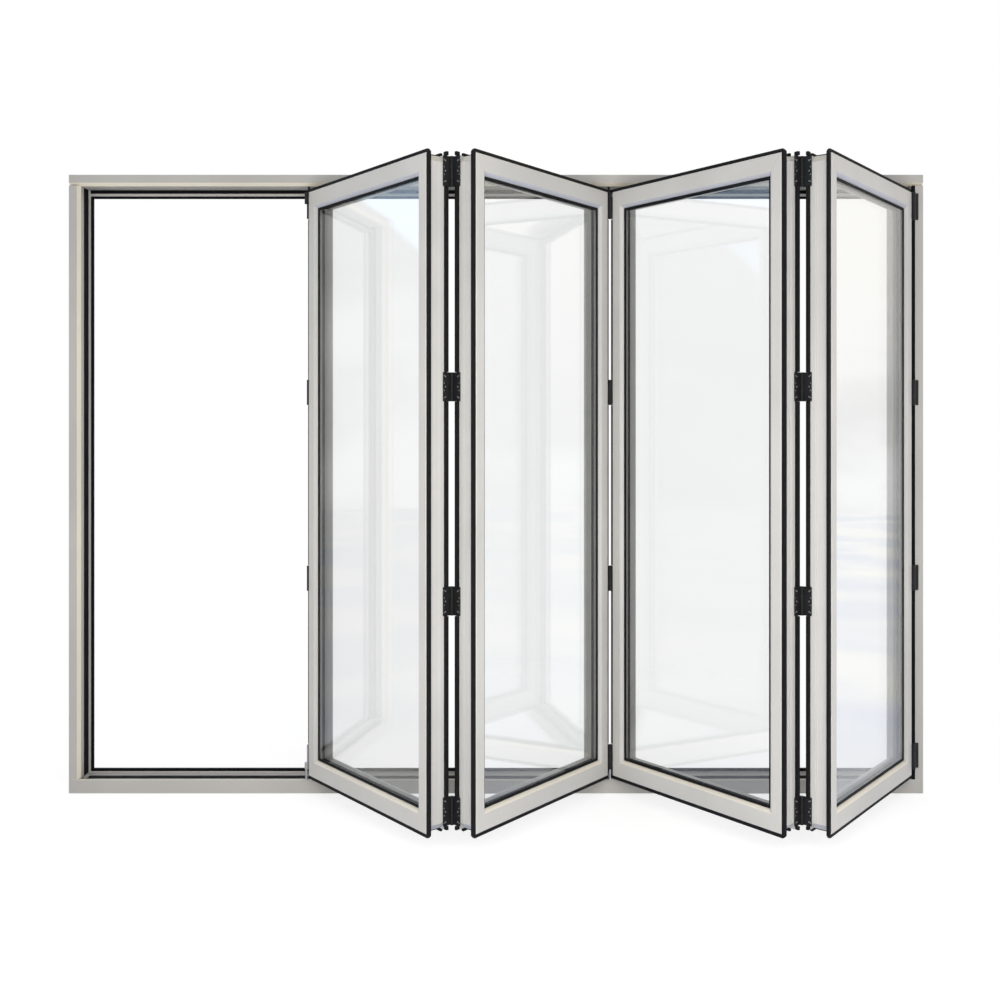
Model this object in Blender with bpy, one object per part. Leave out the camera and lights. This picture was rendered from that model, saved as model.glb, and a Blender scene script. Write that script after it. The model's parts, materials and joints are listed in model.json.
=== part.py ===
"""Bifold glass patio door: four glazed aluminium leaves, half folded, in their outer frame.

Metres, +Z up. +X runs along the doorway, -Y is the side that the leaves fold out to. The origin
is the middle of the sill's underside. Leaves are lettered from the open bay towards the jamb
that carries them: a, b, c and d.
"""

import math

import bmesh
import bpy
from mathutils import Matrix, Vector

# Outer frame
FRAME_WIDTH = 2.900
FRAME_HEIGHT = 2.100
FRAME_DEPTH = 0.090
LIP_FACE = 0.027
LIP_BEVEL = 0.009
LIP_DEPTH = 0.015
LEG_THICKNESS = 0.012
JAMB_LEG = 0.010
HEAD_LEG = 0.021
SILL_HEIGHT = 0.047
SILL_UPSTAND = 0.004
SILL_EDGE_BEVEL = 0.0015
JAMB_SKIN = 0.010

# Running track in the head and guide channel in the sill
TRACK_SETBACK = 0.028
TRACK_SLOT = 0.016
TRACK_LIP = 0.004
CHANNEL_WIDTH = 0.026
CHANNEL_HEIGHT = 0.018
SILL_CHANNEL_WIDTH = 0.036
SILL_CHANNEL_DEPTH = 0.012
GUIDE_SLOT = 0.012
THRESHOLD_WEB = 0.002

# Frame seals
REVEAL_SEAL_START = 0.041
REVEAL_SEAL_END = 0.077
REVEAL_SEAL_THICKNESS = 0.002
HEAD_SEAL_HEIGHT = 0.012
BACK_SEAL_WIDTH = 0.010
BACK_SEAL_JAMB = 0.008
BACK_SEAL_HEAD = 0.007
BACK_SEAL_SILL = 0.009

# Leaves
LEAF_COUNT = 4
LEAF_THICKNESS = 0.078
LEAF_FOOT = 0.0674
LEAF_TOP_GAP = 0.0277
LEAF_PROUD = 0.014
LEAF_END_GAP = 0.012
JAMB_GAP = 0.009
FOLD_ANGLE = math.radians(51.5)
STILE_FACE = 0.035
RAIL_FACE = 0.050
BEAD_WIDTH = 0.010
BEAD_DEPTH = 0.013
BEAD_ROUND = ((0.004, 0.0025), (0.008, 0.007))
EDGE_BEVEL = 0.0015
POCKET_DEPTH = 0.012
CORNER_RELIEF = 0.020
RELIEF_MARGIN = 0.0025
GLASS_THICKNESS = 0.020
GLASS_EDGE_GAP = 0.001
WEDGE_THICKNESS = 0.008

# Seals in the edges of each leaf
SEAL_SETBACK = 0.003
SEAL_WIDTH = 0.010
SEAL_GROOVE = 0.003
SEAL_LIP_STILE = 0.0115
SEAL_LIP_TOP = 0.0115
SEAL_LIP_FOOT = 0.0125
SEAL_CORNER = 0.009
SEAL_CUT_START = 0.003
SEAL_CUT_END = 0.021
SEAL_BEVEL = 0.0015
CORNER_PAD_INSET = 0.022
CORNER_PAD_LENGTH = 0.024
CORNER_PAD_HEIGHT = 0.003

# Hinges
PIN_SETOFF_FRONT = 0.005
PIN_SETOFF_BACK = 0.011
BARREL_RADIUS = 0.0062
BARREL_GROOVE = 0.0007
BARREL_GROOVE_WIDTH = 0.0015
FLAP_THICKNESS = 0.004
FLAP_WIDTH = 0.018
FLAP_BEVEL = 0.001
HINGE_NOTCH_MARGIN = 0.0005
TOP_HINGE_HEIGHT = 0.090
UPPER_HINGE_FOOT = 1.318
LOWER_HINGE_FOOT = 0.691
MIDDLE_HINGE_HEIGHT = 0.085
BOTTOM_HINGE_HEIGHT = 0.084
BOTTOM_HINGE_LIFT_FRONT = 0.021
BOTTOM_HINGE_LIFT_BACK = 0.010
JAMB_FLAP_REACH = 0.022
END_BARREL_HEIGHT = 0.024

# Carriers in the track and guides in the sill
CARRIER_EYE_HEIGHT = 0.015
ARM_THICKNESS = 0.006
STEM_RADIUS = 0.004
TRUCK_LENGTH = 0.052
TRUCK_WIDTH = 0.012
TRUCK_HEIGHT = 0.008
WHEEL_RADIUS = 0.007
WHEEL_WIDTH = 0.004
WHEEL_SPACING = 0.028
AXLE_RADIUS = 0.002
GUIDE_PIN_RADIUS = 0.004
GUIDE_PIN_FOOT = 0.052
GUIDE_ARM_HEIGHT = 0.008
GUIDE_PEG_RADIUS = 0.004
GUIDE_PEG_FOOT = 0.0385

# Fits
GAP = 0.0003
WELD = 1e-6
ROUND_SIDES = 20

# Derived places
FRONT = -FRAME_DEPTH / 2
BACK = FRAME_DEPTH / 2
REVEAL = LIP_FACE + LIP_BEVEL
LEG_FRONT = FRAME_DEPTH - LEG_THICKNESS
TRACK_Y = FRONT + TRACK_SETBACK
LEAF_TOP = FRAME_HEIGHT - REVEAL - LEAF_TOP_GAP
PIN_SHIFT = LEAF_END_GAP / 2
LEAF_WIDTH = (FRAME_WIDTH - 2 * REVEAL - 2 * JAMB_GAP - (LEAF_COUNT - 1) * LEAF_END_GAP) / LEAF_COUNT
BEAD_EDGE_STILE = STILE_FACE + BEAD_WIDTH
BEAD_EDGE_RAIL = RAIL_FACE + BEAD_WIDTH
MITRE_SLOPE = BEAD_EDGE_RAIL / BEAD_EDGE_STILE
MITRE_GAP = GAP * math.hypot(1.0, MITRE_SLOPE)
RAIL_GROOVE = SEAL_GROOVE * MITRE_SLOPE
GLASS_FRONT = BEAD_DEPTH + GAP
GLASS_BACK = GLASS_FRONT + GLASS_THICKNESS
PIN_LINE_Y = FRONT - LEAF_PROUD - PIN_SETOFF_FRONT
JAMB_PIN_X = FRAME_WIDTH / 2 - REVEAL - JAMB_GAP + PIN_SHIFT
PIN_ALONG = LEAF_WIDTH + 2 * PIN_SHIFT
PIN_ACROSS = PIN_SETOFF_FRONT + LEAF_THICKNESS + PIN_SETOFF_BACK
PIN_SPAN = math.hypot(PIN_ALONG, PIN_ACROSS)
SPAN_ANGLE = FOLD_ANGLE - math.atan2(PIN_ACROSS, PIN_ALONG)
PIN_STEP = PIN_SPAN * math.cos(SPAN_ANGLE)
PIN_REACH = PIN_SPAN * math.sin(SPAN_ANGLE)


def material(name, colour, roughness, metallic=0.0):
    """Return a Principled material of one plain finish."""
    made = bpy.data.materials.new(name)
    made.use_nodes = True
    shader = made.node_tree.nodes["Principled BSDF"]
    shader.inputs["Base Color"].default_value = (*colour, 1.0)
    shader.inputs["Roughness"].default_value = roughness
    shader.inputs["Metallic"].default_value = metallic
    made.diffuse_color = (*colour, 1.0)
    return made


def finish_mesh(shape, name):
    """Turn a bmesh into a closed mesh whose faces point out."""
    bmesh.ops.remove_doubles(shape, verts=shape.verts, dist=WELD)
    bmesh.ops.recalc_face_normals(shape, faces=shape.faces)
    mesh = bpy.data.meshes.new(name)
    shape.to_mesh(mesh)
    shape.free()
    return mesh


def prism(outline, low, high, place):
    """Extrude an outline of (u, v) points between low and high; place maps (u, v, w) to a point.

    low and high are numbers, or functions of (u, v) where an end is cut aslant.
    """
    shape = bmesh.new()
    rings = []
    for end in (low, high):
        cut = end if callable(end) else (lambda u, v, value=end: value)
        rings.append([shape.verts.new(place(u, v, cut(u, v))) for u, v in outline])
    shape.faces.new(rings[0])
    shape.faces.new(rings[1])
    for index in range(len(outline)):
        following = (index + 1) % len(outline)
        shape.faces.new((rings[0][index], rings[0][following], rings[1][following], rings[1][index]))
    return shape


def box_mesh(low, high, bevel=0.0):
    """Return a block between two corners, with its edges bevelled if bevel is given."""
    outline = [(low[0], low[1]), (high[0], low[1]), (high[0], high[1]), (low[0], high[1])]
    shape = prism(outline, low[2], high[2], lambda x, y, z: (x, y, z))
    if bevel:
        bmesh.ops.recalc_face_normals(shape, faces=shape.faces)
        bmesh.ops.bevel(shape, geom=shape.edges[:], offset=bevel, segments=1, affect="EDGES")
    return finish_mesh(shape, "block")


def turned_mesh(profile, centre, axis="Z"):
    """Return a solid of revolution; profile is a list of (radius, height) from foot to top."""
    shape = bmesh.new()
    ends = [shape.verts.new((0.0, 0.0, profile[0][1])), shape.verts.new((0.0, 0.0, profile[-1][1]))]
    rings = []
    for radius, height in profile:
        ring = []
        for side in range(ROUND_SIDES):
            turn = 2 * math.pi * side / ROUND_SIDES
            ring.append(shape.verts.new((radius * math.cos(turn), radius * math.sin(turn), height)))
        rings.append(ring)
    for side in range(ROUND_SIDES):
        following = (side + 1) % ROUND_SIDES
        shape.faces.new((ends[0], rings[0][following], rings[0][side]))
        shape.faces.new((ends[1], rings[-1][side], rings[-1][following]))
        for lower, upper in zip(rings, rings[1:]):
            shape.faces.new((lower[side], lower[following], upper[following], upper[side]))
    if axis == "Y":
        bmesh.ops.rotate(shape, verts=shape.verts, matrix=Matrix.Rotation(-math.pi / 2, 3, "X"))
    bmesh.ops.translate(shape, verts=shape.verts, vec=Vector(centre))
    return finish_mesh(shape, "turned")


def boolean(body, tool, operation):
    """Return the mesh of body after one exact Boolean with tool; both are used up."""
    base = bpy.data.objects.new("boolean_base", body)
    cutter = bpy.data.objects.new("boolean_tool", tool)
    for item in (base, cutter):
        bpy.context.scene.collection.objects.link(item)
    modifier = base.modifiers.new("boolean", "BOOLEAN")
    modifier.operation = operation
    modifier.solver = "EXACT"
    modifier.object = cutter
    depsgraph = bpy.context.evaluated_depsgraph_get()
    result = bmesh.new()
    result.from_mesh(base.evaluated_get(depsgraph).to_mesh())
    bmesh.ops.dissolve_degenerate(result, edges=result.edges, dist=WELD)
    for item in (base, cutter):
        bpy.data.objects.remove(item)
    return finish_mesh(result, "combined")


def union(meshes):
    """Return one mesh that joins all the meshes, which overlap one another."""
    joined = meshes[0]
    for mesh in meshes[1:]:
        joined = boolean(joined, mesh, "UNION")
    return joined


def turned_about_z(mesh, angle, place=(0.0, 0.0, 0.0)):
    """Turn a mesh about Z and then move it; returns the same mesh."""
    mesh.transform(Matrix.Translation(Vector(place)) @ Matrix.Rotation(angle, 4, "Z"))
    return mesh


def add_object(name, mesh, finish, parent=None):
    """Link a mesh as a named object with one finish."""
    mesh.name = name
    mesh.materials.clear()
    mesh.materials.append(finish)
    made = bpy.data.objects.new(name, mesh)
    bpy.context.scene.collection.objects.link(made)
    made.parent = parent
    return made


def add_empty(name, place, angle=0.0):
    """Link an empty that carries the pieces of one leaf or joint."""
    made = bpy.data.objects.new(name, None)
    bpy.context.scene.collection.objects.link(made)
    made.location = place
    made.rotation_euler = (0.0, 0.0, angle)
    return made


def head_outline():
    """Section of the head as (y, drop from the top), with the running track in it."""
    slot = (TRACK_SETBACK - TRACK_SLOT / 2, TRACK_SETBACK + TRACK_SLOT / 2)
    channel = (TRACK_SETBACK - CHANNEL_WIDTH / 2, TRACK_SETBACK + CHANNEL_WIDTH / 2)
    lip = REVEAL - TRACK_LIP
    roof = lip - CHANNEL_HEIGHT
    return [
        (0.0, 0.0), (0.0, LIP_FACE), (LIP_DEPTH, REVEAL), (slot[0], REVEAL), (slot[0], lip),
        (channel[0], lip), (channel[0], roof), (channel[1], roof), (channel[1], lip),
        (slot[1], lip), (slot[1], REVEAL), (LEG_FRONT, REVEAL), (LEG_FRONT, REVEAL + HEAD_LEG),
        (FRAME_DEPTH, REVEAL + HEAD_LEG), (FRAME_DEPTH, 0.0),
    ]


def jamb_outline():
    """Section of a jamb as (distance in from the outer face, y)."""
    return [
        (0.0, 0.0), (LIP_FACE, 0.0), (REVEAL, LIP_DEPTH), (REVEAL, LEG_FRONT),
        (REVEAL + JAMB_LEG, LEG_FRONT), (REVEAL + JAMB_LEG, FRAME_DEPTH), (0.0, FRAME_DEPTH),
    ]


def sill_outline():
    """Section of the sill as (y, z), with the guide channel and the upstand at the back."""
    front = TRACK_SETBACK - SILL_CHANNEL_WIDTH / 2
    back = TRACK_SETBACK + SILL_CHANNEL_WIDTH / 2
    floor = SILL_HEIGHT - SILL_CHANNEL_DEPTH
    return [
        (0.0, 0.0), (0.0, SILL_HEIGHT - SILL_EDGE_BEVEL), (SILL_EDGE_BEVEL, SILL_HEIGHT),
        (front, SILL_HEIGHT), (front, floor), (back, floor), (back, SILL_HEIGHT),
        (LEG_FRONT, SILL_HEIGHT), (LEG_FRONT, SILL_HEIGHT + SILL_UPSTAND),
        (FRAME_DEPTH, SILL_HEIGHT + SILL_UPSTAND), (FRAME_DEPTH, 0.0),
    ]


def build_frame(painted):
    """Build the head, the sill and the two jambs."""
    half = FRAME_WIDTH / 2
    inner = half - REVEAL - JAMB_LEG
    head = finish_mesh(
        prism(head_outline(), -half, half, lambda y, drop, x: (x, FRONT + y, FRAME_HEIGHT - drop)),
        "head")
    for side in (-1, 1):
        # The back leg stops between the jambs, which stand right up to the track's underside.
        spans = sorted((side * (inner - GAP), side * (half + LIP_FACE)))
        notch = box_mesh((spans[0], FRONT - LIP_DEPTH, FRAME_HEIGHT - REVEAL - HEAD_LEG - LIP_FACE),
                         (spans[1], BACK + LIP_DEPTH, FRAME_HEIGHT - REVEAL))
        head = boolean(head, notch, "DIFFERENCE")
    add_object("frame_head", head, painted)

    sill_end = half - JAMB_SKIN - GAP
    sill = prism(sill_outline(), -sill_end, sill_end, lambda y, z, x: (x, FRONT + y, z))
    add_object("frame_sill", finish_mesh(sill, "sill"), painted)

    for name, side in (("frame_jamb_left", -1), ("frame_jamb_right", 1)):
        jamb = finish_mesh(
            prism(jamb_outline(), 0.0, FRAME_HEIGHT - REVEAL - GAP,
                  lambda inset, y, z, side=side: (side * (half - inset), FRONT + y, z)),
            "jamb")
        # The outer skin of the jamb runs down past the end of the sill.
        spans = sorted((side * (half - JAMB_SKIN), side * (inner - LIP_FACE)))
        step = box_mesh((spans[0], FRONT - LIP_DEPTH, -LIP_FACE),
                        (spans[1], BACK + LIP_DEPTH, SILL_HEIGHT + GAP))
        upstand = box_mesh((spans[0], FRONT + LEG_FRONT - GAP, -LIP_FACE),
                           (spans[1], BACK + LIP_DEPTH, SILL_HEIGHT + SILL_UPSTAND + GAP))
        jamb = boolean(jamb, step, "DIFFERENCE")
        jamb = boolean(jamb, upstand, "DIFFERENCE")
        add_object(name, jamb, painted)


def build_frame_seals(rubber):
    """Build the strips in the reveals, the ribbed strip in the sill and the ring on the back legs."""
    half = FRAME_WIDTH / 2
    top = FRAME_HEIGHT - REVEAL
    for name, side in (("reveal_seal_left", -1), ("reveal_seal_right", 1)):
        face = half - REVEAL - GAP
        spans = sorted((side * face, side * (face - REVEAL_SEAL_THICKNESS)))
        strip = box_mesh((spans[0], FRONT + REVEAL_SEAL_START, SILL_HEIGHT + GAP),
                         (spans[1], FRONT + REVEAL_SEAL_END, top - GAP))
        add_object(name, strip, rubber)

    # On the jamb that carries the leaves a strip fills the bevel, behind the end of the last leaf.
    slope = LIP_BEVEL / LIP_DEPTH
    stand = GAP * math.hypot(1.0, slope)
    outline = [(LIP_FACE + stand, 0.0), (REVEAL, (LIP_BEVEL - stand) / slope), (REVEAL, 0.0)]
    strip = prism(outline, SILL_HEIGHT + GAP, top - GAP,
                  lambda inset, y, z: (half - inset, FRONT + y, z))
    add_object("hinge_side_seal", finish_mesh(strip, "hinge_side"), rubber)

    leg_face = FRONT + LEG_FRONT - GAP
    head_end = half - REVEAL - JAMB_LEG
    head_strip = box_mesh((-head_end, leg_face - REVEAL_SEAL_THICKNESS, top - HEAD_SEAL_HEIGHT),
                          (head_end, leg_face, top - GAP))
    add_object("head_seal", head_strip, rubber)

    # The strip fills the sill's channel on both sides of the slot that the guides run in.
    channel_half = SILL_CHANNEL_WIDTH / 2 - GAP
    slot_half = GUIDE_SLOT / 2
    floor = SILL_HEIGHT - SILL_CHANNEL_DEPTH + GAP
    slot_floor = floor + THRESHOLD_WEB
    outline = [
        (-channel_half, floor), (-channel_half, SILL_HEIGHT - GAP), (-slot_half, SILL_HEIGHT - GAP),
        (-slot_half, slot_floor), (slot_half, slot_floor), (slot_half, SILL_HEIGHT - GAP),
        (channel_half, SILL_HEIGHT - GAP), (channel_half, floor),
    ]
    strip_end = half - REVEAL - JAMB_LEG - BACK_SEAL_JAMB
    strip = prism(outline, -strip_end, strip_end, lambda y, z, x: (x, TRACK_Y + y, z))
    add_object("threshold_strip", finish_mesh(strip, "threshold"), rubber)

    side_edge = head_end - GAP
    ring_foot = SILL_HEIGHT + SILL_UPSTAND + GAP
    ring_top = top - HEAD_LEG - GAP
    seat = (LEG_THICKNESS - BACK_SEAL_WIDTH) / 2
    ring = box_mesh((-side_edge, FRONT + LEG_FRONT + seat, ring_foot),
                    (side_edge, BACK - seat, ring_top))
    opening = box_mesh((BACK_SEAL_JAMB - side_edge, FRONT, ring_foot + BACK_SEAL_SILL),
                       (side_edge - BACK_SEAL_JAMB, BACK + seat, ring_top - BACK_SEAL_HEAD))
    add_object("frame_back_seal", boolean(ring, opening, "DIFFERENCE"), rubber)


def leaf_bar_outline(face, groove):
    """Section of a stile or rail as (distance in from the leaf's edge, depth from its face)."""
    bead = face + BEAD_WIDTH
    deep = LEAF_THICKNESS
    groove_a = (SEAL_SETBACK, SEAL_SETBACK + SEAL_WIDTH)
    groove_b = (deep - SEAL_SETBACK - SEAL_WIDTH, deep - SEAL_SETBACK)
    # Behind the glass the pocket also takes the wedge gasket that presses it forwards.
    shoulder = GLASS_BACK + WEDGE_THICKNESS
    back_round = [(face + inset, deep - depth) for inset, depth in BEAD_ROUND]
    front_round = [(face + inset, depth) for inset, depth in reversed(BEAD_ROUND)]
    return [
        (0.0, EDGE_BEVEL), (0.0, groove_a[0]), (groove, groove_a[0]), (groove, groove_a[1]),
        (0.0, groove_a[1]), (0.0, groove_b[0]), (groove, groove_b[0]), (groove, groove_b[1]),
        (0.0, groove_b[1]), (0.0, deep - EDGE_BEVEL), (EDGE_BEVEL, deep), (face, deep),
        *back_round, (bead, deep - BEAD_DEPTH),
        (bead, shoulder), (bead - POCKET_DEPTH, shoulder), (bead - POCKET_DEPTH, BEAD_DEPTH),
        (bead, BEAD_DEPTH), *front_round, (face, 0.0), (EDGE_BEVEL, 0.0),
    ]


def corner_relief_mesh(at_far, at_top):
    """Return the wedge that cuts a leaf's corner back between its front and back seals."""
    reach = CORNER_RELIEF
    along = (-reach, -reach, 2 * reach)
    up = (2 * reach, -reach, -reach)
    outline = []
    for a, z in zip(along, up):
        outline.append((LEAF_WIDTH - a if at_far else a, LEAF_TOP - z if at_top else LEAF_FOOT + z))
    near = SEAL_SETBACK + SEAL_WIDTH + RELIEF_MARGIN
    return finish_mesh(prism(outline, near, LEAF_THICKNESS - near, lambda a, z, t: (a, t, z)), "relief")


def build_leaf(letter, holder, hinge_faces, finishes):
    """Build one leaf: two stiles, two rails, the glass unit and the seals in its edges.

    hinge_faces gives, for the near and the far end, whether the hinges are at the front face.
    """
    width = LEAF_WIDTH
    stile = leaf_bar_outline(STILE_FACE, SEAL_GROOVE)
    rail = leaf_bar_outline(RAIL_FACE, RAIL_GROOVE)

    def stile_foot(inset, _depth):
        return LEAF_FOOT + inset * MITRE_SLOPE + MITRE_GAP

    def stile_top(inset, _depth):
        return LEAF_TOP - inset * MITRE_SLOPE - MITRE_GAP

    def rail_start(inset, _depth):
        return inset / MITRE_SLOPE

    def rail_end(inset, _depth):
        return width - inset / MITRE_SLOPE

    bars = {
        "near_stile": prism(stile, stile_foot, stile_top, lambda inset, t, z: (inset, t, z)),
        "far_stile": prism(stile, stile_foot, stile_top, lambda inset, t, z: (width - inset, t, z)),
        "bottom_rail": prism(rail, rail_start, rail_end, lambda inset, t, a: (a, t, LEAF_FOOT + inset)),
        "top_rail": prism(rail, rail_start, rail_end, lambda inset, t, a: (a, t, LEAF_TOP - inset)),
    }
    cuts = {
        "near_stile": ((False, False), (False, True)),
        "far_stile": ((True, False), (True, True)),
        "bottom_rail": ((False, False), (True, False)),
        "top_rail": ((False, True), (True, True)),
    }
    for part, shape in bars.items():
        name = "leaf_%s_%s" % (letter, part)
        bar = finish_mesh(shape, name)
        for at_far, at_top in cuts[part]:
            bar = boolean(bar, corner_relief_mesh(at_far, at_top), "DIFFERENCE")
        add_object(name, bar, finishes["painted"], holder)

    inset_stile = BEAD_EDGE_STILE - POCKET_DEPTH + GLASS_EDGE_GAP
    inset_rail = BEAD_EDGE_RAIL - POCKET_DEPTH + GLASS_EDGE_GAP
    glass = box_mesh((inset_stile, GLASS_FRONT, LEAF_FOOT + inset_rail),
                     (width - inset_stile, GLASS_BACK, LEAF_TOP - inset_rail))
    add_object("leaf_%s_glass" % letter, glass, finishes["glass"], holder)

    seal = edge_seal_mesh(hinge_faces)
    add_object("leaf_%s_edge_seal" % letter, seal, finishes["rubber"], holder)


def edge_seal_mesh(hinge_faces):
    """Return the front and back seal rings of a leaf, joined by its moulded corner pads."""
    width = LEAF_WIDTH
    deep = LEAF_THICKNESS
    root = SEAL_GROOVE - GAP
    rail_root = RAIL_GROOVE - GAP
    spans = ((SEAL_SETBACK + GAP, SEAL_SETBACK + SEAL_WIDTH - GAP),
             (deep - SEAL_SETBACK - SEAL_WIDTH + GAP, deep - SEAL_SETBACK - GAP))
    rings = []
    left, right = -SEAL_LIP_STILE, width + SEAL_LIP_STILE
    low, high = LEAF_FOOT - SEAL_LIP_FOOT, LEAF_TOP + SEAL_LIP_TOP
    cut = SEAL_CORNER
    mitred = [(left, low + cut), (left + cut, low), (right - cut, low), (right, low + cut),
              (right, high - cut), (right - cut, high), (left + cut, high), (left, high - cut)]
    square = [(left, low), (right, low), (right, high), (left, high)]
    for outline, (near, far) in zip((mitred, square), spans):
        outer = prism(outline, near, far, lambda a, z, t: (a, t, z))
        bmesh.ops.recalc_face_normals(outer, faces=outer.faces)
        bmesh.ops.bevel(outer, geom=outer.edges[:], offset=SEAL_BEVEL, segments=1, affect="EDGES")
        outer = finish_mesh(outer, "ring")
        inner = box_mesh((root, near - deep, LEAF_FOOT + rail_root),
                         (width - root, far + deep, LEAF_TOP - rail_root))
        rings.append(boolean(outer, inner, "DIFFERENCE"))
    rings[1] = cut_back_corners(rings[1])
    pads = []
    for start in (CORNER_PAD_INSET, width - CORNER_PAD_INSET - CORNER_PAD_LENGTH):
        for low in (LEAF_TOP + GAP, LEAF_FOOT - GAP - CORNER_PAD_HEIGHT):
            pads.append(box_mesh((start, spans[0][1] - SEAL_BEVEL, low),
                                 (start + CORNER_PAD_LENGTH, spans[1][0] + SEAL_BEVEL,
                                  low + CORNER_PAD_HEIGHT)))
    seal = rings[0]
    for pad in pads:
        seal = boolean(seal, pad, "UNION")
    seal = boolean(seal, rings[1], "UNION")
    near_end = (-2 * SEAL_LIP_STILE, GAP)
    far_end = (width - GAP, width + 2 * SEAL_LIP_STILE)
    for sides, at_front in zip((near_end, far_end), hinge_faces):
        faces = (-deep, deep / 2) if at_front else (deep / 2, 2 * deep)
        for foot, top in hinge_spans(at_front):
            notch = box_mesh((sides[0], faces[0], foot - HINGE_NOTCH_MARGIN),
                             (sides[1], faces[1], top + HINGE_NOTCH_MARGIN))
            seal = boolean(seal, notch, "DIFFERENCE")
    return seal


def cut_back_corners(ring):
    """Return the back seal ring with its lip cut away along the rails beside each corner.

    The lips on the stiles stand on to the top as square posts, and stop level with the leaf's foot.
    """
    far = 2 * LEAF_THICKNESS
    for edge, side in ((0.0, 1), (LEAF_WIDTH, -1)):
        inner = edge + side * SEAL_CUT_END
        for outer, low, high in ((edge + side * SEAL_CUT_START, LEAF_TOP, LEAF_TOP + far),
                                 (edge - side * far, LEAF_FOOT - far, LEAF_FOOT)):
            cutter = box_mesh((min(outer, inner), -far, low), (max(outer, inner), far, high))
            ring = boolean(ring, cutter, "DIFFERENCE")
    return ring


def hinge_spans(at_front, carries_track=False):
    """Heights (foot, top) of a joint's four hinges, from the bottom up."""
    bottom = LEAF_FOOT + (BOTTOM_HINGE_LIFT_FRONT if at_front else BOTTOM_HINGE_LIFT_BACK)
    crown = LEAF_TOP - (CARRIER_EYE_HEIGHT + GAP if carries_track else 0.0)
    return [
        (bottom, bottom + BOTTOM_HINGE_HEIGHT),
        (LOWER_HINGE_FOOT, LOWER_HINGE_FOOT + MIDDLE_HINGE_HEIGHT),
        (UPPER_HINGE_FOOT, UPPER_HINGE_FOOT + MIDDLE_HINGE_HEIGHT),
        (LEAF_TOP - TOP_HINGE_HEIGHT, crown),
    ]


def barrel_mesh(foot, top):
    """Return a hinge barrel with grooves between its three knuckles."""
    third = (top - foot) / 3
    groove = BARREL_GROOVE_WIDTH / 2
    bevel = BARREL_GROOVE
    waist = BARREL_RADIUS - BARREL_GROOVE
    profile = [(waist, foot), (BARREL_RADIUS, foot + bevel)]
    for knuckle in (1, 2):
        level = foot + knuckle * third
        profile += [(BARREL_RADIUS, level - groove), (waist, level - groove / 2),
                    (waist, level + groove / 2), (BARREL_RADIUS, level + groove)]
    profile += [(BARREL_RADIUS, top - bevel), (waist, top)]
    return turned_mesh(profile, (0.0, 0.0, 0.0))


def flap_mesh(side, at_front, foot, top, width=FLAP_WIDTH):
    """Return a flap on a leaf's end face, with the hinge pin as its origin.

    side is -1 for the leaf on the pin's left and 1 for the leaf on its right.
    """
    near = side * (PIN_SHIFT - GAP)
    far = side * (PIN_SHIFT - GAP - FLAP_THICKNESS)
    reach = width + (PIN_SETOFF_FRONT if at_front else PIN_SETOFF_BACK)
    depths = (0.0, reach) if at_front else (-reach, 0.0)
    return box_mesh((min(near, far), depths[0], foot), (max(near, far), depths[1], top), FLAP_BEVEL)


def leaf_hinge_mesh(at_front, foot, top):
    """Return a hinge between two leaves, with its pin at the origin."""
    turn = FOLD_ANGLE if at_front else -FOLD_ANGLE
    left = turned_about_z(flap_mesh(-1, at_front, foot, top), turn)
    right = turned_about_z(flap_mesh(1, at_front, foot, top), -turn)
    return union([barrel_mesh(foot, top), left, right])


def jamb_hinge_mesh(foot, top):
    """Return a hinge between the last leaf and the face of the jamb, with its pin at the origin."""
    leaf_flap = turned_about_z(flap_mesh(-1, True, foot, top), FOLD_ANGLE)
    face = FRONT - GAP - PIN_LINE_Y
    plate = box_mesh((-BARREL_RADIUS, face - FLAP_THICKNESS, foot), (JAMB_FLAP_REACH, face, top),
                     FLAP_BEVEL)
    web_half = BARREL_RADIUS - 2 * BARREL_GROOVE
    web_inset = 2 * BARREL_GROOVE
    web = box_mesh((-web_half, 0.0, foot + web_inset),
                   (web_half, face - FLAP_THICKNESS / 2, top - web_inset))
    return union([barrel_mesh(foot, top), leaf_flap, web, plate])


def carrier_mesh(foot, track_reach):
    """Return a carrier: eye on the pin line, arm, stem and four-wheel truck in the track."""
    top = foot + CARRIER_EYE_HEIGHT
    lip_top = FRAME_HEIGHT - REVEAL + TRACK_LIP
    wheel_level = lip_top + GAP + WHEEL_RADIUS
    truck_foot = lip_top + GAP
    eye = turned_mesh([(BARREL_RADIUS, foot), (BARREL_RADIUS, top)], (0.0, 0.0, 0.0))
    arm = box_mesh((-ARM_THICKNESS / 2, 0.0, foot + GAP), (ARM_THICKNESS / 2, track_reach, top - GAP))
    stem = turned_mesh([(STEM_RADIUS, foot + GAP / 2), (STEM_RADIUS, wheel_level)],
                       (0.0, track_reach, 0.0))
    truck = box_mesh((-TRUCK_LENGTH / 2, track_reach - TRUCK_WIDTH / 2, truck_foot),
                     (TRUCK_LENGTH / 2, track_reach + TRUCK_WIDTH / 2, truck_foot + TRUCK_HEIGHT))
    parts = [eye, arm, stem, truck]
    axle_half = TRACK_SLOT / 2 + GAP + WHEEL_WIDTH / 2
    for place in (-WHEEL_SPACING / 2, WHEEL_SPACING / 2):
        parts.append(turned_mesh([(AXLE_RADIUS, -axle_half), (AXLE_RADIUS, axle_half)],
                                 (place, track_reach, wheel_level), axis="Y"))
        for side in (-1, 1):
            inner = side * (TRACK_SLOT / 2 + GAP)
            outer = side * (TRACK_SLOT / 2 + GAP + WHEEL_WIDTH)
            low, high = sorted((inner, outer))
            parts.append(turned_mesh([(WHEEL_RADIUS, low), (WHEEL_RADIUS, high)],
                                     (place, track_reach, wheel_level), axis="Y"))
    return union(parts)


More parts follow.
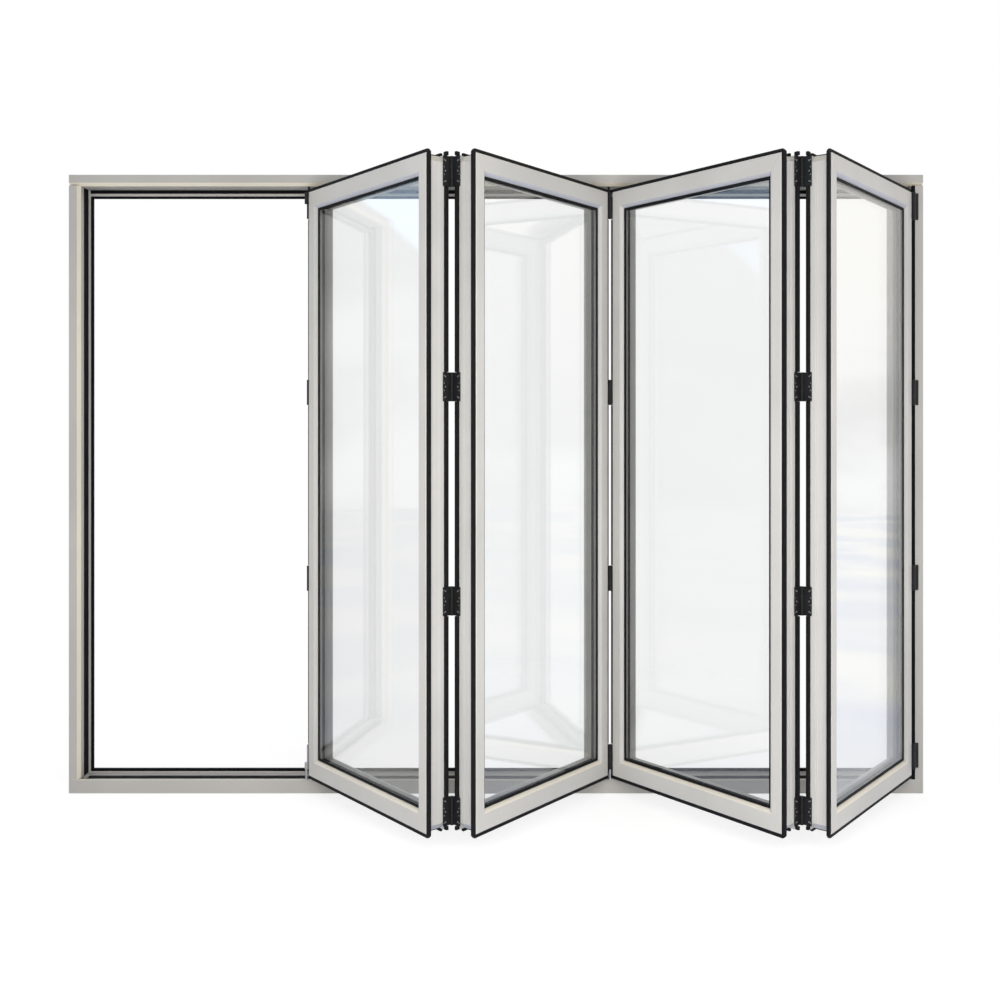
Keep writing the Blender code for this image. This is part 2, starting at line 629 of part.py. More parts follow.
def guide_mesh(crown, track_reach):
    """Return a bottom guide: pin under the hinge, arm over the sill and peg in its slot."""
    arm_top = GUIDE_PIN_FOOT + GUIDE_ARM_HEIGHT
    pin = turned_mesh([(GUIDE_PIN_RADIUS, GUIDE_PIN_FOOT), (GUIDE_PIN_RADIUS, crown)], (0.0, 0.0, 0.0))
    arm = box_mesh((-ARM_THICKNESS / 2, 0.0, GUIDE_PIN_FOOT + GAP),
                   (ARM_THICKNESS / 2, track_reach, arm_top))
    peg = turned_mesh([(GUIDE_PEG_RADIUS, GUIDE_PEG_FOOT), (GUIDE_PEG_RADIUS, arm_top - GAP)],
                      (0.0, track_reach, 0.0))
    return union([pin, arm, peg])


def build_hinges(joints, finishes):
    """Build the four hinges of each joint; joints is a list of (name, empty, kind)."""
    levels = ("bottom", "lower", "upper", "top")
    for name, holder, kind in joints:
        at_front = kind != "front"
        for level, (foot, top) in zip(levels, hinge_spans(at_front, kind == "track")):
            if kind == "jamb":
                mesh = jamb_hinge_mesh(foot, top)
            else:
                mesh = leaf_hinge_mesh(at_front, foot, top)
            add_object("hinge_%s_%s" % (name, level), mesh, finishes["hardware"], holder)


def build_end_pieces(holder, finishes):
    """Build what is on the free edge of leaf a: end carrier, end guide and two lock plates."""
    spans = hinge_spans(True, True)
    reach = TRACK_Y - PIN_LINE_Y
    turn = -FOLD_ANGLE
    names = ("end_bracket_bottom", "end_plate_lower", "end_plate_upper", "end_bracket_top")
    for name, (foot, top) in zip(names, spans):
        flap = turned_about_z(flap_mesh(1, True, foot, top), turn)
        mesh = flap
        if name == "end_bracket_top":
            mesh = union([barrel_mesh(top - END_BARREL_HEIGHT, top), flap])
        elif name == "end_bracket_bottom":
            mesh = union([barrel_mesh(foot, foot + END_BARREL_HEIGHT), flap])
        finish = finishes["steel"] if name == "end_bracket_bottom" else finishes["hardware"]
        add_object(name, mesh, finish, holder)
    add_object("end_carrier", carrier_mesh(spans[-1][1] + GAP, reach), finishes["steel"], holder)
    add_object("end_guide", guide_mesh(spans[0][0] - GAP, reach), finishes["steel"], holder)


def build():
    """Build the whole door."""
    for item in list(bpy.data.objects):
        bpy.data.objects.remove(item)
    finishes = {
        "painted": material("painted_aluminium", (0.54, 0.52, 0.49), 0.42),
        "rubber": material("black_rubber", (0.012, 0.012, 0.013), 0.75),
        "hardware": material("black_hardware", (0.020, 0.020, 0.021), 0.45),
        "steel": material("stainless_steel", (0.55, 0.55, 0.54), 0.35, 1.0),
        "glass": material("clear_glass", (0.82, 0.87, 0.88), 0.05),
    }
    build_frame(finishes["painted"])
    build_frame_seals(finishes["rubber"])

    bc_pin_x = JAMB_PIN_X - 2 * PIN_STEP
    end_pin_x = bc_pin_x - 2 * PIN_STEP
    front_pin_y = PIN_LINE_Y - PIN_REACH
    pins = {
        "end": (end_pin_x, PIN_LINE_Y),
        "ab": (end_pin_x + PIN_STEP, front_pin_y),
        "bc": (bc_pin_x, PIN_LINE_Y),
        "cd": (bc_pin_x + PIN_STEP, front_pin_y),
        "jamb": (JAMB_PIN_X, PIN_LINE_Y),
    }
    joint_holders = {name: add_empty("pin_%s" % name, (x, y, 0.0)) for name, (x, y) in pins.items()}

    # Each leaf hangs from its near pin: at the front face for a and c, at the back for b and d.
    for letter, near, near_front in (("a", "end", True), ("b", "ab", False),
                                     ("c", "bc", True), ("d", "cd", False)):
        angle = -FOLD_ANGLE if near_front else FOLD_ANGLE
        setoff = PIN_SETOFF_FRONT if near_front else -PIN_SETOFF_BACK - LEAF_THICKNESS
        shift = Vector((PIN_SHIFT, setoff, 0.0))
        corner = Vector((*pins[near], 0.0)) + Matrix.Rotation(angle, 3, "Z") @ shift
        holder = add_empty("leaf_%s" % letter, corner, angle)
        build_leaf(letter, holder, (near_front, not near_front), finishes)

    build_hinges([("ab", joint_holders["ab"], "front"), ("bc", joint_holders["bc"], "track"),
                  ("cd", joint_holders["cd"], "front"), ("jamb", joint_holders["jamb"], "jamb")],
                 finishes)
    reach = TRACK_Y - PIN_LINE_Y
    bc_spans = hinge_spans(True, True)
    add_object("middle_carrier", carrier_mesh(bc_spans[-1][1] + GAP, reach), finishes["steel"],
               joint_holders["bc"])
    add_object("middle_guide", guide_mesh(bc_spans[0][0] - GAP, reach), finishes["steel"],
               joint_holders["bc"])
    build_end_pieces(joint_holders["end"], finishes)


build()
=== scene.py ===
"""Looks of a four-leaf bifold patio door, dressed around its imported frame.

Metres, +Z up. +X runs along the doorway towards the jamb that carries the leaves, and -Y is the
side that the leaves fold out to. The frame, bars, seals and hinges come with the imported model;
this script adds the glazing, the ribs of the leaf edges and the screws, and every finish.
"""

import json
import logging
import math
from collections.abc import Callable, Sequence
from dataclasses import dataclass
from enum import Enum
from functools import cache

import bmesh
import bpy
from mathutils import Matrix, Vector

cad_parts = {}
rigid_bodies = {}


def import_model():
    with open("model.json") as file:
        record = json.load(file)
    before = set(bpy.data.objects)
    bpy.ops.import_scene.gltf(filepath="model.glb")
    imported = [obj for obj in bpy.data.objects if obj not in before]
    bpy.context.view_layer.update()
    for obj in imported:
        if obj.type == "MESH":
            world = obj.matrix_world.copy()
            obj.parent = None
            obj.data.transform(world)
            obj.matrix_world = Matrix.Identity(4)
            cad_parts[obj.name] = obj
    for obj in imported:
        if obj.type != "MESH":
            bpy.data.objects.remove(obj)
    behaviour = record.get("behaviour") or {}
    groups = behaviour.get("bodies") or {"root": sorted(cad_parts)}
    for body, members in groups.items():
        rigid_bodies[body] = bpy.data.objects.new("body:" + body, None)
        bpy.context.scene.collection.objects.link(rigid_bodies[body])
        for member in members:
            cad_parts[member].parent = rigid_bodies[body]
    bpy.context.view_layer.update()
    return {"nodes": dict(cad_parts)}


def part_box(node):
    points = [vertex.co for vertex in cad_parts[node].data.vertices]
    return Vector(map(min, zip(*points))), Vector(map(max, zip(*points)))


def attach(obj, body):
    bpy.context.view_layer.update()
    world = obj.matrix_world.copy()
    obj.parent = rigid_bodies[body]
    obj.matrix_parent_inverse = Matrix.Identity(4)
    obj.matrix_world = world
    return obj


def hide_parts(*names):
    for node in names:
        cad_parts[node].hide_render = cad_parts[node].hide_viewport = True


for leftover in list(bpy.data.objects):
    bpy.data.objects.remove(leftover)
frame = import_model()

LOG = logging.getLogger("bifold_door")
BODY = "root"

Colour = tuple[float, float, float]
Point = tuple[float, float, float]
Span = tuple[float, float]
TwoSpans = tuple[float, float, float, float]
Section = Sequence[Span]
Shape = bmesh.types.BMesh
Piece = bpy.types.Object
Material = bpy.types.Material

WHITE = (1.0, 1.0, 1.0)
WARM_LIGHT = (1.0, 0.985, 0.965)
EMISSION, BACKGROUND = "ShaderNodeEmission", "ShaderNodeBackground"
ROUND_EDGE = 40.0
BARS = ("near_stile", "far_stile", "bottom_rail", "top_rail")


class Slot(Enum):
    """Material slots of the record."""

    PAINT = "painted_aluminium"
    RUBBER = "black_rubber"
    GLASS = "clear_glass"
    HARDWARE = "black_hardware"
    STEEL = "stainless_steel"


class End(Enum):
    """The two ends of a leaf, by the side that its edge faces."""

    NEAR = -1
    FAR = 1


def shown_as(red: int, green: int, blue: int) -> Colour:
    """Return the linear colour of what a screen shows as red, green and blue of 0 to 255."""
    shares = (red / 255.0, green / 255.0, blue / 255.0)
    return tuple(s / 12.92 if s <= 0.04045 else ((s + 0.055) / 1.055) ** 2.4 for s in shares)


class Graph:
    """Adds nodes to one node tree and links them."""

    MIX_FACTOR, MIX_FIRST, MIX_SECOND, MIX_RESULT = 0, 6, 7, 2
    NOISE_LOW, NOISE_HIGH = 0.3, 0.7

    def __init__(self, tree: bpy.types.NodeTree) -> None:
        """Keep the tree that the nodes go into."""
        self.tree = tree

    def add(self, kind: str, inputs: dict | None = None, **settings: object) -> bpy.types.Node:
        """Add a node.

        Args:
            kind: The node's type name.
            inputs: Values or sockets for its inputs, by name or number.
            **settings: Properties of the node itself.

        Returns:
            The new node.
        """
        node = self.tree.nodes.new(kind)
        for name, value in settings.items():
            setattr(node, name, value)
        for key, value in (inputs or {}).items():
            self.feed(node.inputs[key], value)
        return node

    def feed(self, target: bpy.types.NodeSocket, value: object) -> None:
        """Link a socket to target, or set target's own value.

        Args:
            target: The input socket.
            value: A socket, a number or a colour.
        """
        if isinstance(value, bpy.types.NodeSocket):
            self.tree.links.new(value, target)
        elif target.type == "RGBA" and len(value) == 3:
            target.default_value = (*value, 1.0)
        else:
            target.default_value = value

    def math(self, operation: str, first: object, second: object = 0.0) -> object:
        """Return the result of a Math node."""
        return self.add("ShaderNodeMath", {0: first, 1: second}, operation=operation).outputs[0]

    def times(self, first: object, second: object) -> object:
        """Return the product of two values."""
        return self.math("MULTIPLY", first, second)

    def rest_of(self, share: object) -> object:
        """Return what a share leaves of 1."""
        return self.math("SUBTRACT", 1.0, share)

    def mix(self, factor: object, first: object, second: object, blend: str = "MIX") -> object:
        """Return two colours mixed, with factor as the share of the second."""
        inputs = {self.MIX_FACTOR: factor, self.MIX_FIRST: first, self.MIX_SECOND: second}
        return self.add("ShaderNodeMix", inputs, data_type="RGBA", blend_type=blend).outputs[self.MIX_RESULT]

    def ramp(self, value: object, low: object, high: object, to_low: float = 0.0,
             to_high: float = 1.0) -> object:
        """Return a value mapped smoothly from low..high onto to_low..to_high, and held beyond them."""
        inputs = {"Value": value, "From Min": low, "From Max": high, "To Min": to_low, "To Max": to_high}
        return self.add("ShaderNodeMapRange", inputs, interpolation_type="SMOOTHSTEP").outputs["Result"]

    def spread(self, noise: object, to_low: float, to_high: float) -> object:
        """Return a noise's usual span mapped onto to_low..to_high."""
        return self.ramp(noise, self.NOISE_LOW, self.NOISE_HIGH, to_low, to_high)

    def noise(self, place: object, size: object, detail: float) -> object:
        """Return a noise with patches of a size in metres, and detail as its octaves."""
        inputs = {"Vector": place, "Scale": self.math("DIVIDE", 1.0, size), "Detail": detail}
        return self.add("ShaderNodeTexNoise", inputs).outputs["Fac"]

    def place(self, stretch: Point = (1.0, 1.0, 1.0), kind: str = "Object") -> object:
        """Return texture coordinates, multiplied by a factor along each axis."""
        own = self.add("ShaderNodeTexCoord").outputs[kind]
        return self.add("ShaderNodeMapping", {"Vector": own, "Scale": stretch}).outputs["Vector"]

    def normal(self, kind: str = "Normal") -> object:
        """Return the surface's normal."""
        return self.add("ShaderNodeNewGeometry").outputs[kind]

    def parts(self, vector: object) -> object:
        """Return the outputs X, Y and Z of a vector."""
        return self.add("ShaderNodeSeparateXYZ", {0: vector}).outputs

    def toned(self, colour: object, tone: object) -> object:
        """Return a colour multiplied by a tone."""
        return self.mix(1.0, colour, self.grey(tone), "MULTIPLY")

    def grey(self, value: object) -> object:
        """Return a value as a grey colour."""
        return self.add("ShaderNodeCombineXYZ", {0: value, 1: value, 2: value}).outputs[0]

    def blend(self, mask: object, first: object, second: object) -> object:
        """Return two shaders mixed, with mask as the share of the second."""
        return self.add("ShaderNodeMixShader", {0: mask, 1: first, 2: second}).outputs[0]

    def light(self, kind: str, colour: object, strength: float = 1.0) -> object:
        """Return an Emission or Background shader of a colour and strength."""
        return self.add(kind, {"Color": colour, "Strength": strength}).outputs[0]


class CoatGraph(Graph):
    """The node tree of a material with one Principled shader."""

    def __init__(self, name: str) -> None:
        """Make the material.

        Args:
            name: Its name.
        """
        self.material = bpy.data.materials.new(name)
        self.material.use_nodes = True
        super().__init__(self.material.node_tree)
        self.shader = self.tree.nodes["Principled BSDF"]

    def set(self, **inputs: object) -> None:
        """Set or link inputs of the shader, with underscores for the spaces in their names."""
        for name, value in inputs.items():
            self.feed(self.shader.inputs[name.replace("_", " ")], value)

    def bump(self, height: object, distance: float) -> None:
        """Bend the shader's normal by a height, of which 1 measures distance."""
        bump = self.add("ShaderNodeBump", {"Height": height, "Distance": distance, "Strength": 1.0})
        self.set(Normal=bump.outputs["Normal"])

    def show(self, shader: object) -> None:
        """Make a shader the material's surface."""
        self.feed(self.tree.nodes["Material Output"].inputs["Surface"], shader)


class EffectGroup(Graph):
    """A shader node group that finishes use, each with its own values."""

    INPUTS: tuple[str, ...] = ()
    OUTPUTS: tuple[str, ...] = ("Mask",)

    def __init__(self) -> None:
        """Make the group with its sockets, and fill it."""
        super().__init__(bpy.data.node_groups.new(type(self).__name__, "ShaderNodeTree"))
        for side, names in (("INPUT", self.INPUTS), ("OUTPUT", self.OUTPUTS)):
            for name in names:
                self.tree.interface.new_socket(name, in_out=side, socket_type="NodeSocketFloat")
        self.given = self.tree.nodes.new("NodeGroupInput").outputs
        self.wanted = self.tree.nodes.new("NodeGroupOutput").inputs
        self.fill()

    def fill(self) -> None:
        """Build the nodes between the inputs and the outputs; each effect has its own."""
        raise NotImplementedError

    def put_out(self, **values: object) -> None:
        """Link values to the outputs of these names."""
        for name, value in values.items():
            self.feed(self.wanted[name], value)

    @classmethod
    @cache
    def shared(cls) -> "EffectGroup":
        """Return the effect's one group, built when it is first asked for."""
        return cls()

    @classmethod
    def used_in(cls, graph: Graph, **inputs: object) -> object:
        """Place the effect's group in a material.

        Args:
            graph: The material's graph.
            **inputs: Values or sockets, with underscores for the spaces in a socket's name.

        Returns:
            The outputs of the placed group.
        """
        node = graph.add("ShaderNodeGroup", node_tree=cls.shared().tree)
        for name, value in inputs.items():
            graph.feed(node.inputs[name.replace("_", " ").title()], value)
        return node.outputs


class CoatMottle(EffectGroup):
    """Slow change of tone over a coated surface, with faint runs down it."""

    INPUTS = ("Patch Size", "Run Width")
    OUTPUTS = ("Tone", "Runs")
    RUN_STRETCH = (1.0, 1.0, 0.04)

    def fill(self) -> None:
        """Build the two noises."""
        self.put_out(Tone=self.noise(self.place(), self.given["Patch Size"], detail=3.0),
                     Runs=self.noise(self.place(self.RUN_STRETCH), self.given["Run Width"], detail=2.0))


class SurfaceSkin(EffectGroup):
    """Fine skin of a coated or moulded surface: soft ripple and sharper grain."""

    INPUTS = ("Ripple Size", "Grain Size", "Grain Share")
    OUTPUTS = ("Height", "Grain")

    def fill(self) -> None:
        """Build the ripple and the grain, and add them up."""
        ripple = self.noise(self.place(), self.given["Ripple Size"], detail=1.0)
        grain = self.noise(self.place(), self.given["Grain Size"], detail=2.0)
        height = self.math("ADD", ripple, self.times(grain, self.given["Grain Share"]))
        self.put_out(Height=height, Grain=grain)


class RubbedEdge(EffectGroup):
    """Mask of edges that hands and seals have rubbed, broken up along the edge."""

    INPUTS = ("Edge Width", "Break Size")
    EDGE_TURN = (0.995, 0.9)
    BREAK_EDGES = (0.42, 0.62)

    def fill(self) -> None:
        """Find edges where the rounded normal leaves the plain one, and break them up."""
        rounded = self.add("ShaderNodeBevel", {"Radius": self.given["Edge Width"]}, samples=4).outputs[0]
        turn = self.add("ShaderNodeVectorMath", {0: rounded, 1: self.normal()}, operation="DOT_PRODUCT")
        edge = self.ramp(turn.outputs["Value"], *self.EDGE_TURN)
        breaks = self.noise(self.place(), self.given["Break Size"], detail=4.0)
        self.put_out(Mask=self.times(edge, self.ramp(breaks, *self.BREAK_EDGES)))


class SettledDust(EffectGroup):
    """Mask of dust that settles in patches on faces that look up."""

    INPUTS = ("Patch Size",)
    LEAST = 0.35
    UPWARD_SPAN = (0.3, 0.95)

    def fill(self) -> None:
        """Build the patches and keep them to the faces that look up."""
        patches = self.noise(self.place(), self.given["Patch Size"], detail=4.0)
        facing = self.ramp(self.parts(self.normal())["Z"], *self.UPWARD_SPAN)
        self.put_out(Mask=self.times(facing, self.spread(patches, self.LEAST, 1.0)))


class BrushedLines(EffectGroup):
    """Fine lines that brushing or drawing leaves along a metal piece."""

    INPUTS = ("Line Width",)
    OUTPUTS = ("Height", "Tone")
    STRETCH = (1.0, 1.0, 0.03)

    def fill(self) -> None:
        """Build the lines."""
        lines = self.noise(self.place(self.STRETCH), self.given["Line Width"], detail=3.0)
        self.put_out(Height=lines, Tone=self.spread(lines, 0.0, 1.0))


class SlopedFacet(EffectGroup):
    """Mask of facets that slope between a front face and its reveal, where the powder coat puts a painted
    highlight.
    """

    INPUTS = ("Steepest", "Flattest")

    def fill(self) -> None:
        """Keep what faces forward by more than the one and less than the other."""
        forward = self.times(self.parts(self.normal("True Normal"))["Y"], -1.0)
        above = self.math("GREATER_THAN", forward, self.given["Flattest"])
        self.put_out(Mask=self.times(above, self.math("LESS_THAN", forward, self.given["Steepest"])))


class TiltedFacet(EffectGroup):
    """Masks of slanting facets that look up and that look down, where the powder coat puts painted light and
    painted shade.
    """

    INPUTS = ("Least Tilt", "Most Tilt")
    OUTPUTS = ("Upward", "Downward")
    SPAN = 0.3

    def fill(self) -> None:
        """Build each mask from how far a facet looks its way."""
        upward = self.parts(self.normal("True Normal"))["Z"]
        least = self.given["Least Tilt"]
        full = self.math("ADD", least, self.SPAN)
        for name, share in (("Upward", upward), ("Downward", self.times(upward, -1.0))):
            slanting = self.math("LESS_THAN", share, self.given["Most Tilt"])
            self.put_out(**{name: self.times(slanting, self.ramp(share, least, full))})


@dataclass(frozen=True)
class Finish:
    """A finish that becomes one material."""

    name: str

    def build(self) -> Material:
        """Build the material.

        Returns:
            The material.
        """
        coat = CoatGraph(self.name)
        self.lay(coat)
        return coat.material

    def lay(self, coat: CoatGraph) -> None:
        """Lay the finish on its material; each kind of finish has its own way."""
        raise NotImplementedError


@dataclass(frozen=True)
class PowderCoat(Finish):
    """Satin powder coat on an aluminium bar."""

    colour: Colour = shown_as(184, 181, 176)
    # Painted highlight: sloped bevels shown lighter and warmer than the face they belong to.
    facet_colour: Colour = shown_as(230, 222, 204)
    facet_share: float = 0.0
    # Painted light and shade: facets that look up are warmed and lightened, facets that look down get a
    # bluish painted shade.
    upward_colour: Colour = shown_as(224, 217, 204)
    downward_colour: Colour = shown_as(182, 184, 193)
    tilt_share: float = 0.0
    roughness: Span = (0.36, 0.46)
    run_span: Span = (0.25, 0.75)
    tones: Span = (0.95, 1.05)
    ripple_size: float = 0.0022
    ripple_height: float = 0.00003
    worn: Colour = shown_as(150, 148, 145)
    wear: float = 0.25
    dust: Colour = shown_as(186, 180, 168)
    dust_share: float = 0.18
    dust_roughness: float = 0.15

    def lay(self, coat: CoatGraph) -> None:
        """Lay the coat with a painted highlight on sloped facets, painted light on facets that look up and
        painted bluish shade on those that look down, its rubbed edges and the dust on it.

        Args:
            coat: The material's graph.
        """
        mottle = CoatMottle.used_in(coat, patch_size=0.35, run_width=0.02)
        skin = SurfaceSkin.used_in(coat, ripple_size=self.ripple_size, grain_size=0.0004, grain_share=0.25)
        # Painted highlight: the sloped bevels get the lighter, warmer colour.
        highlighted_facet = SlopedFacet.used_in(coat, steepest=0.75, flattest=0.3)["Mask"]
        base = coat.mix(coat.times(highlighted_facet, self.facet_share), self.colour, self.facet_colour)
        lit_and_shaded_facets = TiltedFacet.used_in(coat, least_tilt=0.2, most_tilt=0.97)
        # Painted light on facets that look up, painted bluish shade on facets that look down.
        for side, tint in (("Upward", self.upward_colour), ("Downward", self.downward_colour)):
            base = coat.mix(coat.times(lit_and_shaded_facets[side], self.tilt_share), base, tint)
        toned = coat.toned(base, coat.spread(mottle["Tone"], *self.tones))
        rubbed = RubbedEdge.used_in(coat, edge_width=0.0009, break_size=0.04)["Mask"]
        worn = coat.mix(coat.times(rubbed, self.wear), toned, self.worn)
        settled = SettledDust.used_in(coat, patch_size=0.06)["Mask"]
        rough = coat.ramp(mottle["Runs"], *self.run_span, *self.roughness)
        coat.set(Base_Color=coat.mix(coat.times(settled, self.dust_share), worn, self.dust),
                 Roughness=coat.math("ADD", rough, coat.times(settled, self.dust_roughness)))
        coat.bump(skin["Height"], self.ripple_height)


@dataclass(frozen=True)
class Rubber(Finish):
    """Extruded black rubber."""

    colour: Colour = (0.0060, 0.0060, 0.0062)
    bloom: Colour = (0.016, 0.0163, 0.017)
    bloom_share: float = 0.35
    dust: Colour = shown_as(120, 116, 108)
    dust_share: float = 0.3
    bloom_span: Span = (0.45, 0.75)
    roughness: Span = (0.68, 0.82)
    specular: float = 0.20
    grain_height: float = 0.00006

    def lay(self, coat: CoatGraph) -> None:
        """Lay the rubber with its pale bloom and dust.

        Args:
            coat: The material's graph.
        """
        mottle = CoatMottle.used_in(coat, patch_size=0.08, run_width=0.004)
        skin = SurfaceSkin.used_in(coat, ripple_size=0.003, grain_size=0.0006, grain_share=0.8)
        bloom = coat.times(coat.ramp(mottle["Runs"], *self.bloom_span), self.bloom_share)
        bloomed = coat.mix(bloom, self.colour, self.bloom)
        settled = SettledDust.used_in(coat, patch_size=0.03)["Mask"]
        coat.set(Base_Color=coat.mix(coat.times(settled, self.dust_share), bloomed, self.dust),
                 Roughness=coat.spread(mottle["Tone"], *self.roughness), Specular_IOR_Level=self.specular)
        coat.bump(skin["Height"], self.grain_height)


@dataclass(frozen=True)
class BlackHardware(Finish):
    """Fine-textured black coat on steel hinges and plates, rubbed bright at its edges."""

    colour: Colour = (0.0070, 0.0070, 0.0074)
    tones: Span = (0.85, 1.25)
    bare: Colour = (0.18, 0.18, 0.175)
    roughness: Span = (0.42, 0.58)
    specular: float = 0.4
    wear: float = 0.4
    texture_height: float = 0.00010

    def lay(self, coat: CoatGraph) -> None:
        """Lay the textured coat and its bare edges.

        Args:
            coat: The material's graph.
        """
        mottle = CoatMottle.used_in(coat, patch_size=0.05, run_width=0.01)
        skin = SurfaceSkin.used_in(coat, ripple_size=0.0012, grain_size=0.0005, grain_share=0.7)
        toned = coat.toned(self.colour, coat.spread(mottle["Tone"], *self.tones))
        rubbed = RubbedEdge.used_in(coat, edge_width=0.0006, break_size=0.012)["Mask"]
        bare = coat.times(rubbed, self.wear)
        coat.set(Base_Color=coat.mix(bare, toned, self.bare), Metallic=bare,
                 Roughness=coat.spread(skin["Grain"], *self.roughness), Specular_IOR_Level=self.specular)
        coat.bump(skin["Height"], self.texture_height)


@dataclass(frozen=True)
class BrightMetal(Finish):
    """Bare drawn or plated metal with fine lines."""

    colour: Colour = (0.58, 0.58, 0.57)
    tones: Span = (0.88, 1.08)
    roughness: Span = (0.24, 0.40)
    line_width: float = 0.0004
    line_height: float = 0.00003

    def lay(self, coat: CoatGraph) -> None:
        """Lay the bare metal with its lines.

        Args:
            coat: The material's graph.
        """
        lines = BrushedLines.used_in(coat, line_width=self.line_width)
        mottle = CoatMottle.used_in(coat, patch_size=0.03, run_width=0.01)
        coat.set(Base_Color=coat.toned(self.colour, coat.spread(mottle["Tone"], *self.tones)),
                 Metallic=1.0, Roughness=coat.ramp(lines["Tone"], 0.0, 1.0, *self.roughness))
        coat.bump(lines["Height"], self.line_height)


@dataclass(frozen=True)
class SpacerBar(Finish):
    """Satin aluminium spacer with a row of fine perforations."""

    colour: Colour = shown_as(176, 176, 174)
    hole_colour: Colour = shown_as(70, 70, 70)
    hole_pitch: float = 0.004
    hole_edge: Span = (0.16, 0.10)
    hole_depth: float = 0.0001
    metallic: float = 0.4
    roughness: Span = (0.38, 0.52)

    def lay(self, coat: CoatGraph) -> None:
        """Lay the satin metal and its holes.

        Args:
            coat: The material's graph.
        """
        lines = BrushedLines.used_in(coat, line_width=0.0006)
        inputs = {"Vector": coat.place(), "Scale": 1.0 / self.hole_pitch, "Randomness": 0.0}
        cells = coat.add("ShaderNodeTexVoronoi", inputs).outputs["Distance"]
        holes = coat.ramp(cells, *self.hole_edge)
        coat.set(Base_Color=coat.mix(holes, self.colour, self.hole_colour), Metallic=self.metallic,
                 Roughness=coat.ramp(lines["Tone"], 0.0, 1.0, *self.roughness))
        coat.bump(coat.math("SUBTRACT", lines["Height"], holes), self.hole_depth)


@dataclass(frozen=True)
class FloatGlass(Finish):
    """Clear float glass that lets the lamps' light through to what stands behind it."""

    tint: Colour = (0.985, 0.990, 0.988)
    shadow_tint: Colour = (0.97, 0.98, 0.975)
    refraction: float = 1.45
    smears: TwoSpans = (0.55, 0.8, 0.0, 0.03)

    def lay(self, coat: CoatGraph) -> None:
        """Lay the glass with its faint smears and pale shadow.

        Args:
            coat: The material's graph.
        """
        mottle = CoatMottle.used_in(coat, patch_size=0.25, run_width=0.05)
        coat.set(Base_Color=self.tint, Transmission_Weight=1.0, IOR=self.refraction,
                 Roughness=coat.ramp(mottle["Tone"], *self.smears))
        shadow = coat.add("ShaderNodeLightPath").outputs["Is Shadow Ray"]
        clear = coat.add("ShaderNodeBsdfTransparent", {"Color": self.shadow_tint}).outputs[0]
        coat.show(coat.blend(shadow, coat.shader.outputs[0], clear))


def by_sight(graph: Graph, lit: object, mirrored: object, seen: object) -> object:
    """Mix three shaders by how they are seen.

    Args:
        graph: The graph that they are in.
        lit: The shader for light that bounces on.
        mirrored: The one for reflections, also for those that lie behind a pane.
        seen: The one for straight sight, also through glass.

    Returns:
        The mixed shader.
    """
    path = graph.add("ShaderNodeLightPath").outputs
    scattered = graph.math("MINIMUM", path["Diffuse Depth"], 1.0)
    deep = graph.math("MINIMUM", path["Glossy Depth"], 1.0)
    straight = graph.math("MAXIMUM", path["Is Camera Ray"], path["Is Transmission Ray"])
    direct = graph.times(straight, graph.rest_of(graph.math("MAXIMUM", scattered, deep)))
    glossy = graph.times(graph.math("MAXIMUM", path["Is Glossy Ray"], deep), graph.rest_of(scattered))
    return graph.blend(direct, graph.blend(glossy, lit, mirrored), seen)


class Finishes:
    """Every material of the door, built once."""

    def __init__(self) -> None:
        """Build the materials."""
        # The frame's sloped bevels carry a painted highlight.
        self.frame_paint = PowderCoat("frame_paint", facet_share=1.0).build()
        # The leaf paint carries painted light on facets that look up and painted shade on those that look
        # down.
        self.leaf_paint = PowderCoat("leaf_paint", colour=shown_as(199, 197, 193), tilt_share=1.0).build()
        self.edge_paint = PowderCoat("edge_rib_paint", colour=shown_as(206, 205, 203), wear=0.08).build()
        self.rubber = Rubber("seal_rubber").build()
        self.gasket = Rubber("gasket_rubber", colour=(0.005, 0.0051, 0.0054), roughness=(0.56, 0.70)).build()
        self.frame_rubber = Rubber("frame_seal_rubber", colour=(0.0030, 0.0033, 0.0046),
                                   bloom=(0.008, 0.0088, 0.0115), specular=0.12).build()
        self.hardware = BlackHardware("black_hinge_coat").build()
        self.steel = BrightMetal("guide_steel").build()
        self.zinc = BrightMetal("screw_zinc", colour=(0.52, 0.52, 0.51), roughness=(0.26, 0.42),
                                line_width=0.0002).build()
        self.spacer = SpacerBar("spacer_bar").build()
        self.glass = FloatGlass("float_glass").build()


def add_piece(name: str, shape: Shape, place: Matrix, material: Material,
              slot: Slot, smooth: float = 0.0) -> Piece:
    """Turn a bmesh into a piece that rides on the door.

    Args:
        name: The piece's name.
        shape: Its mesh, in the coordinates of place; it is used up.
        place: From its coordinates to the door's.
        material: Its finish.
        slot: The record's slot for its finish; not used.
        smooth: Edges under this angle are shaded smooth, in degrees.

    Returns:
        The piece.
    """
    bmesh.ops.transform(shape, matrix=place, verts=shape.verts)
    bmesh.ops.recalc_face_normals(shape, faces=shape.faces)
    mesh = bpy.data.meshes.new(name)
    shape.to_mesh(mesh)
    shape.free()
    mesh.materials.append(material)
    if smooth:
        mesh.shade_smooth()
        mesh.set_sharp_from_angle(angle=math.radians(smooth))
    piece = bpy.data.objects.new(name, mesh)
    bpy.context.scene.collection.objects.link(piece)
    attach(piece, BODY)
    return piece


def dress(nodes: Sequence[str], material: Material) -> None:
    """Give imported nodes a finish.

    Args:
        nodes: Their names.
        material: The finish.
    """
    for name in nodes:
        mesh = frame["nodes"][name].data
        mesh.materials.clear()
        mesh.materials.append(material)


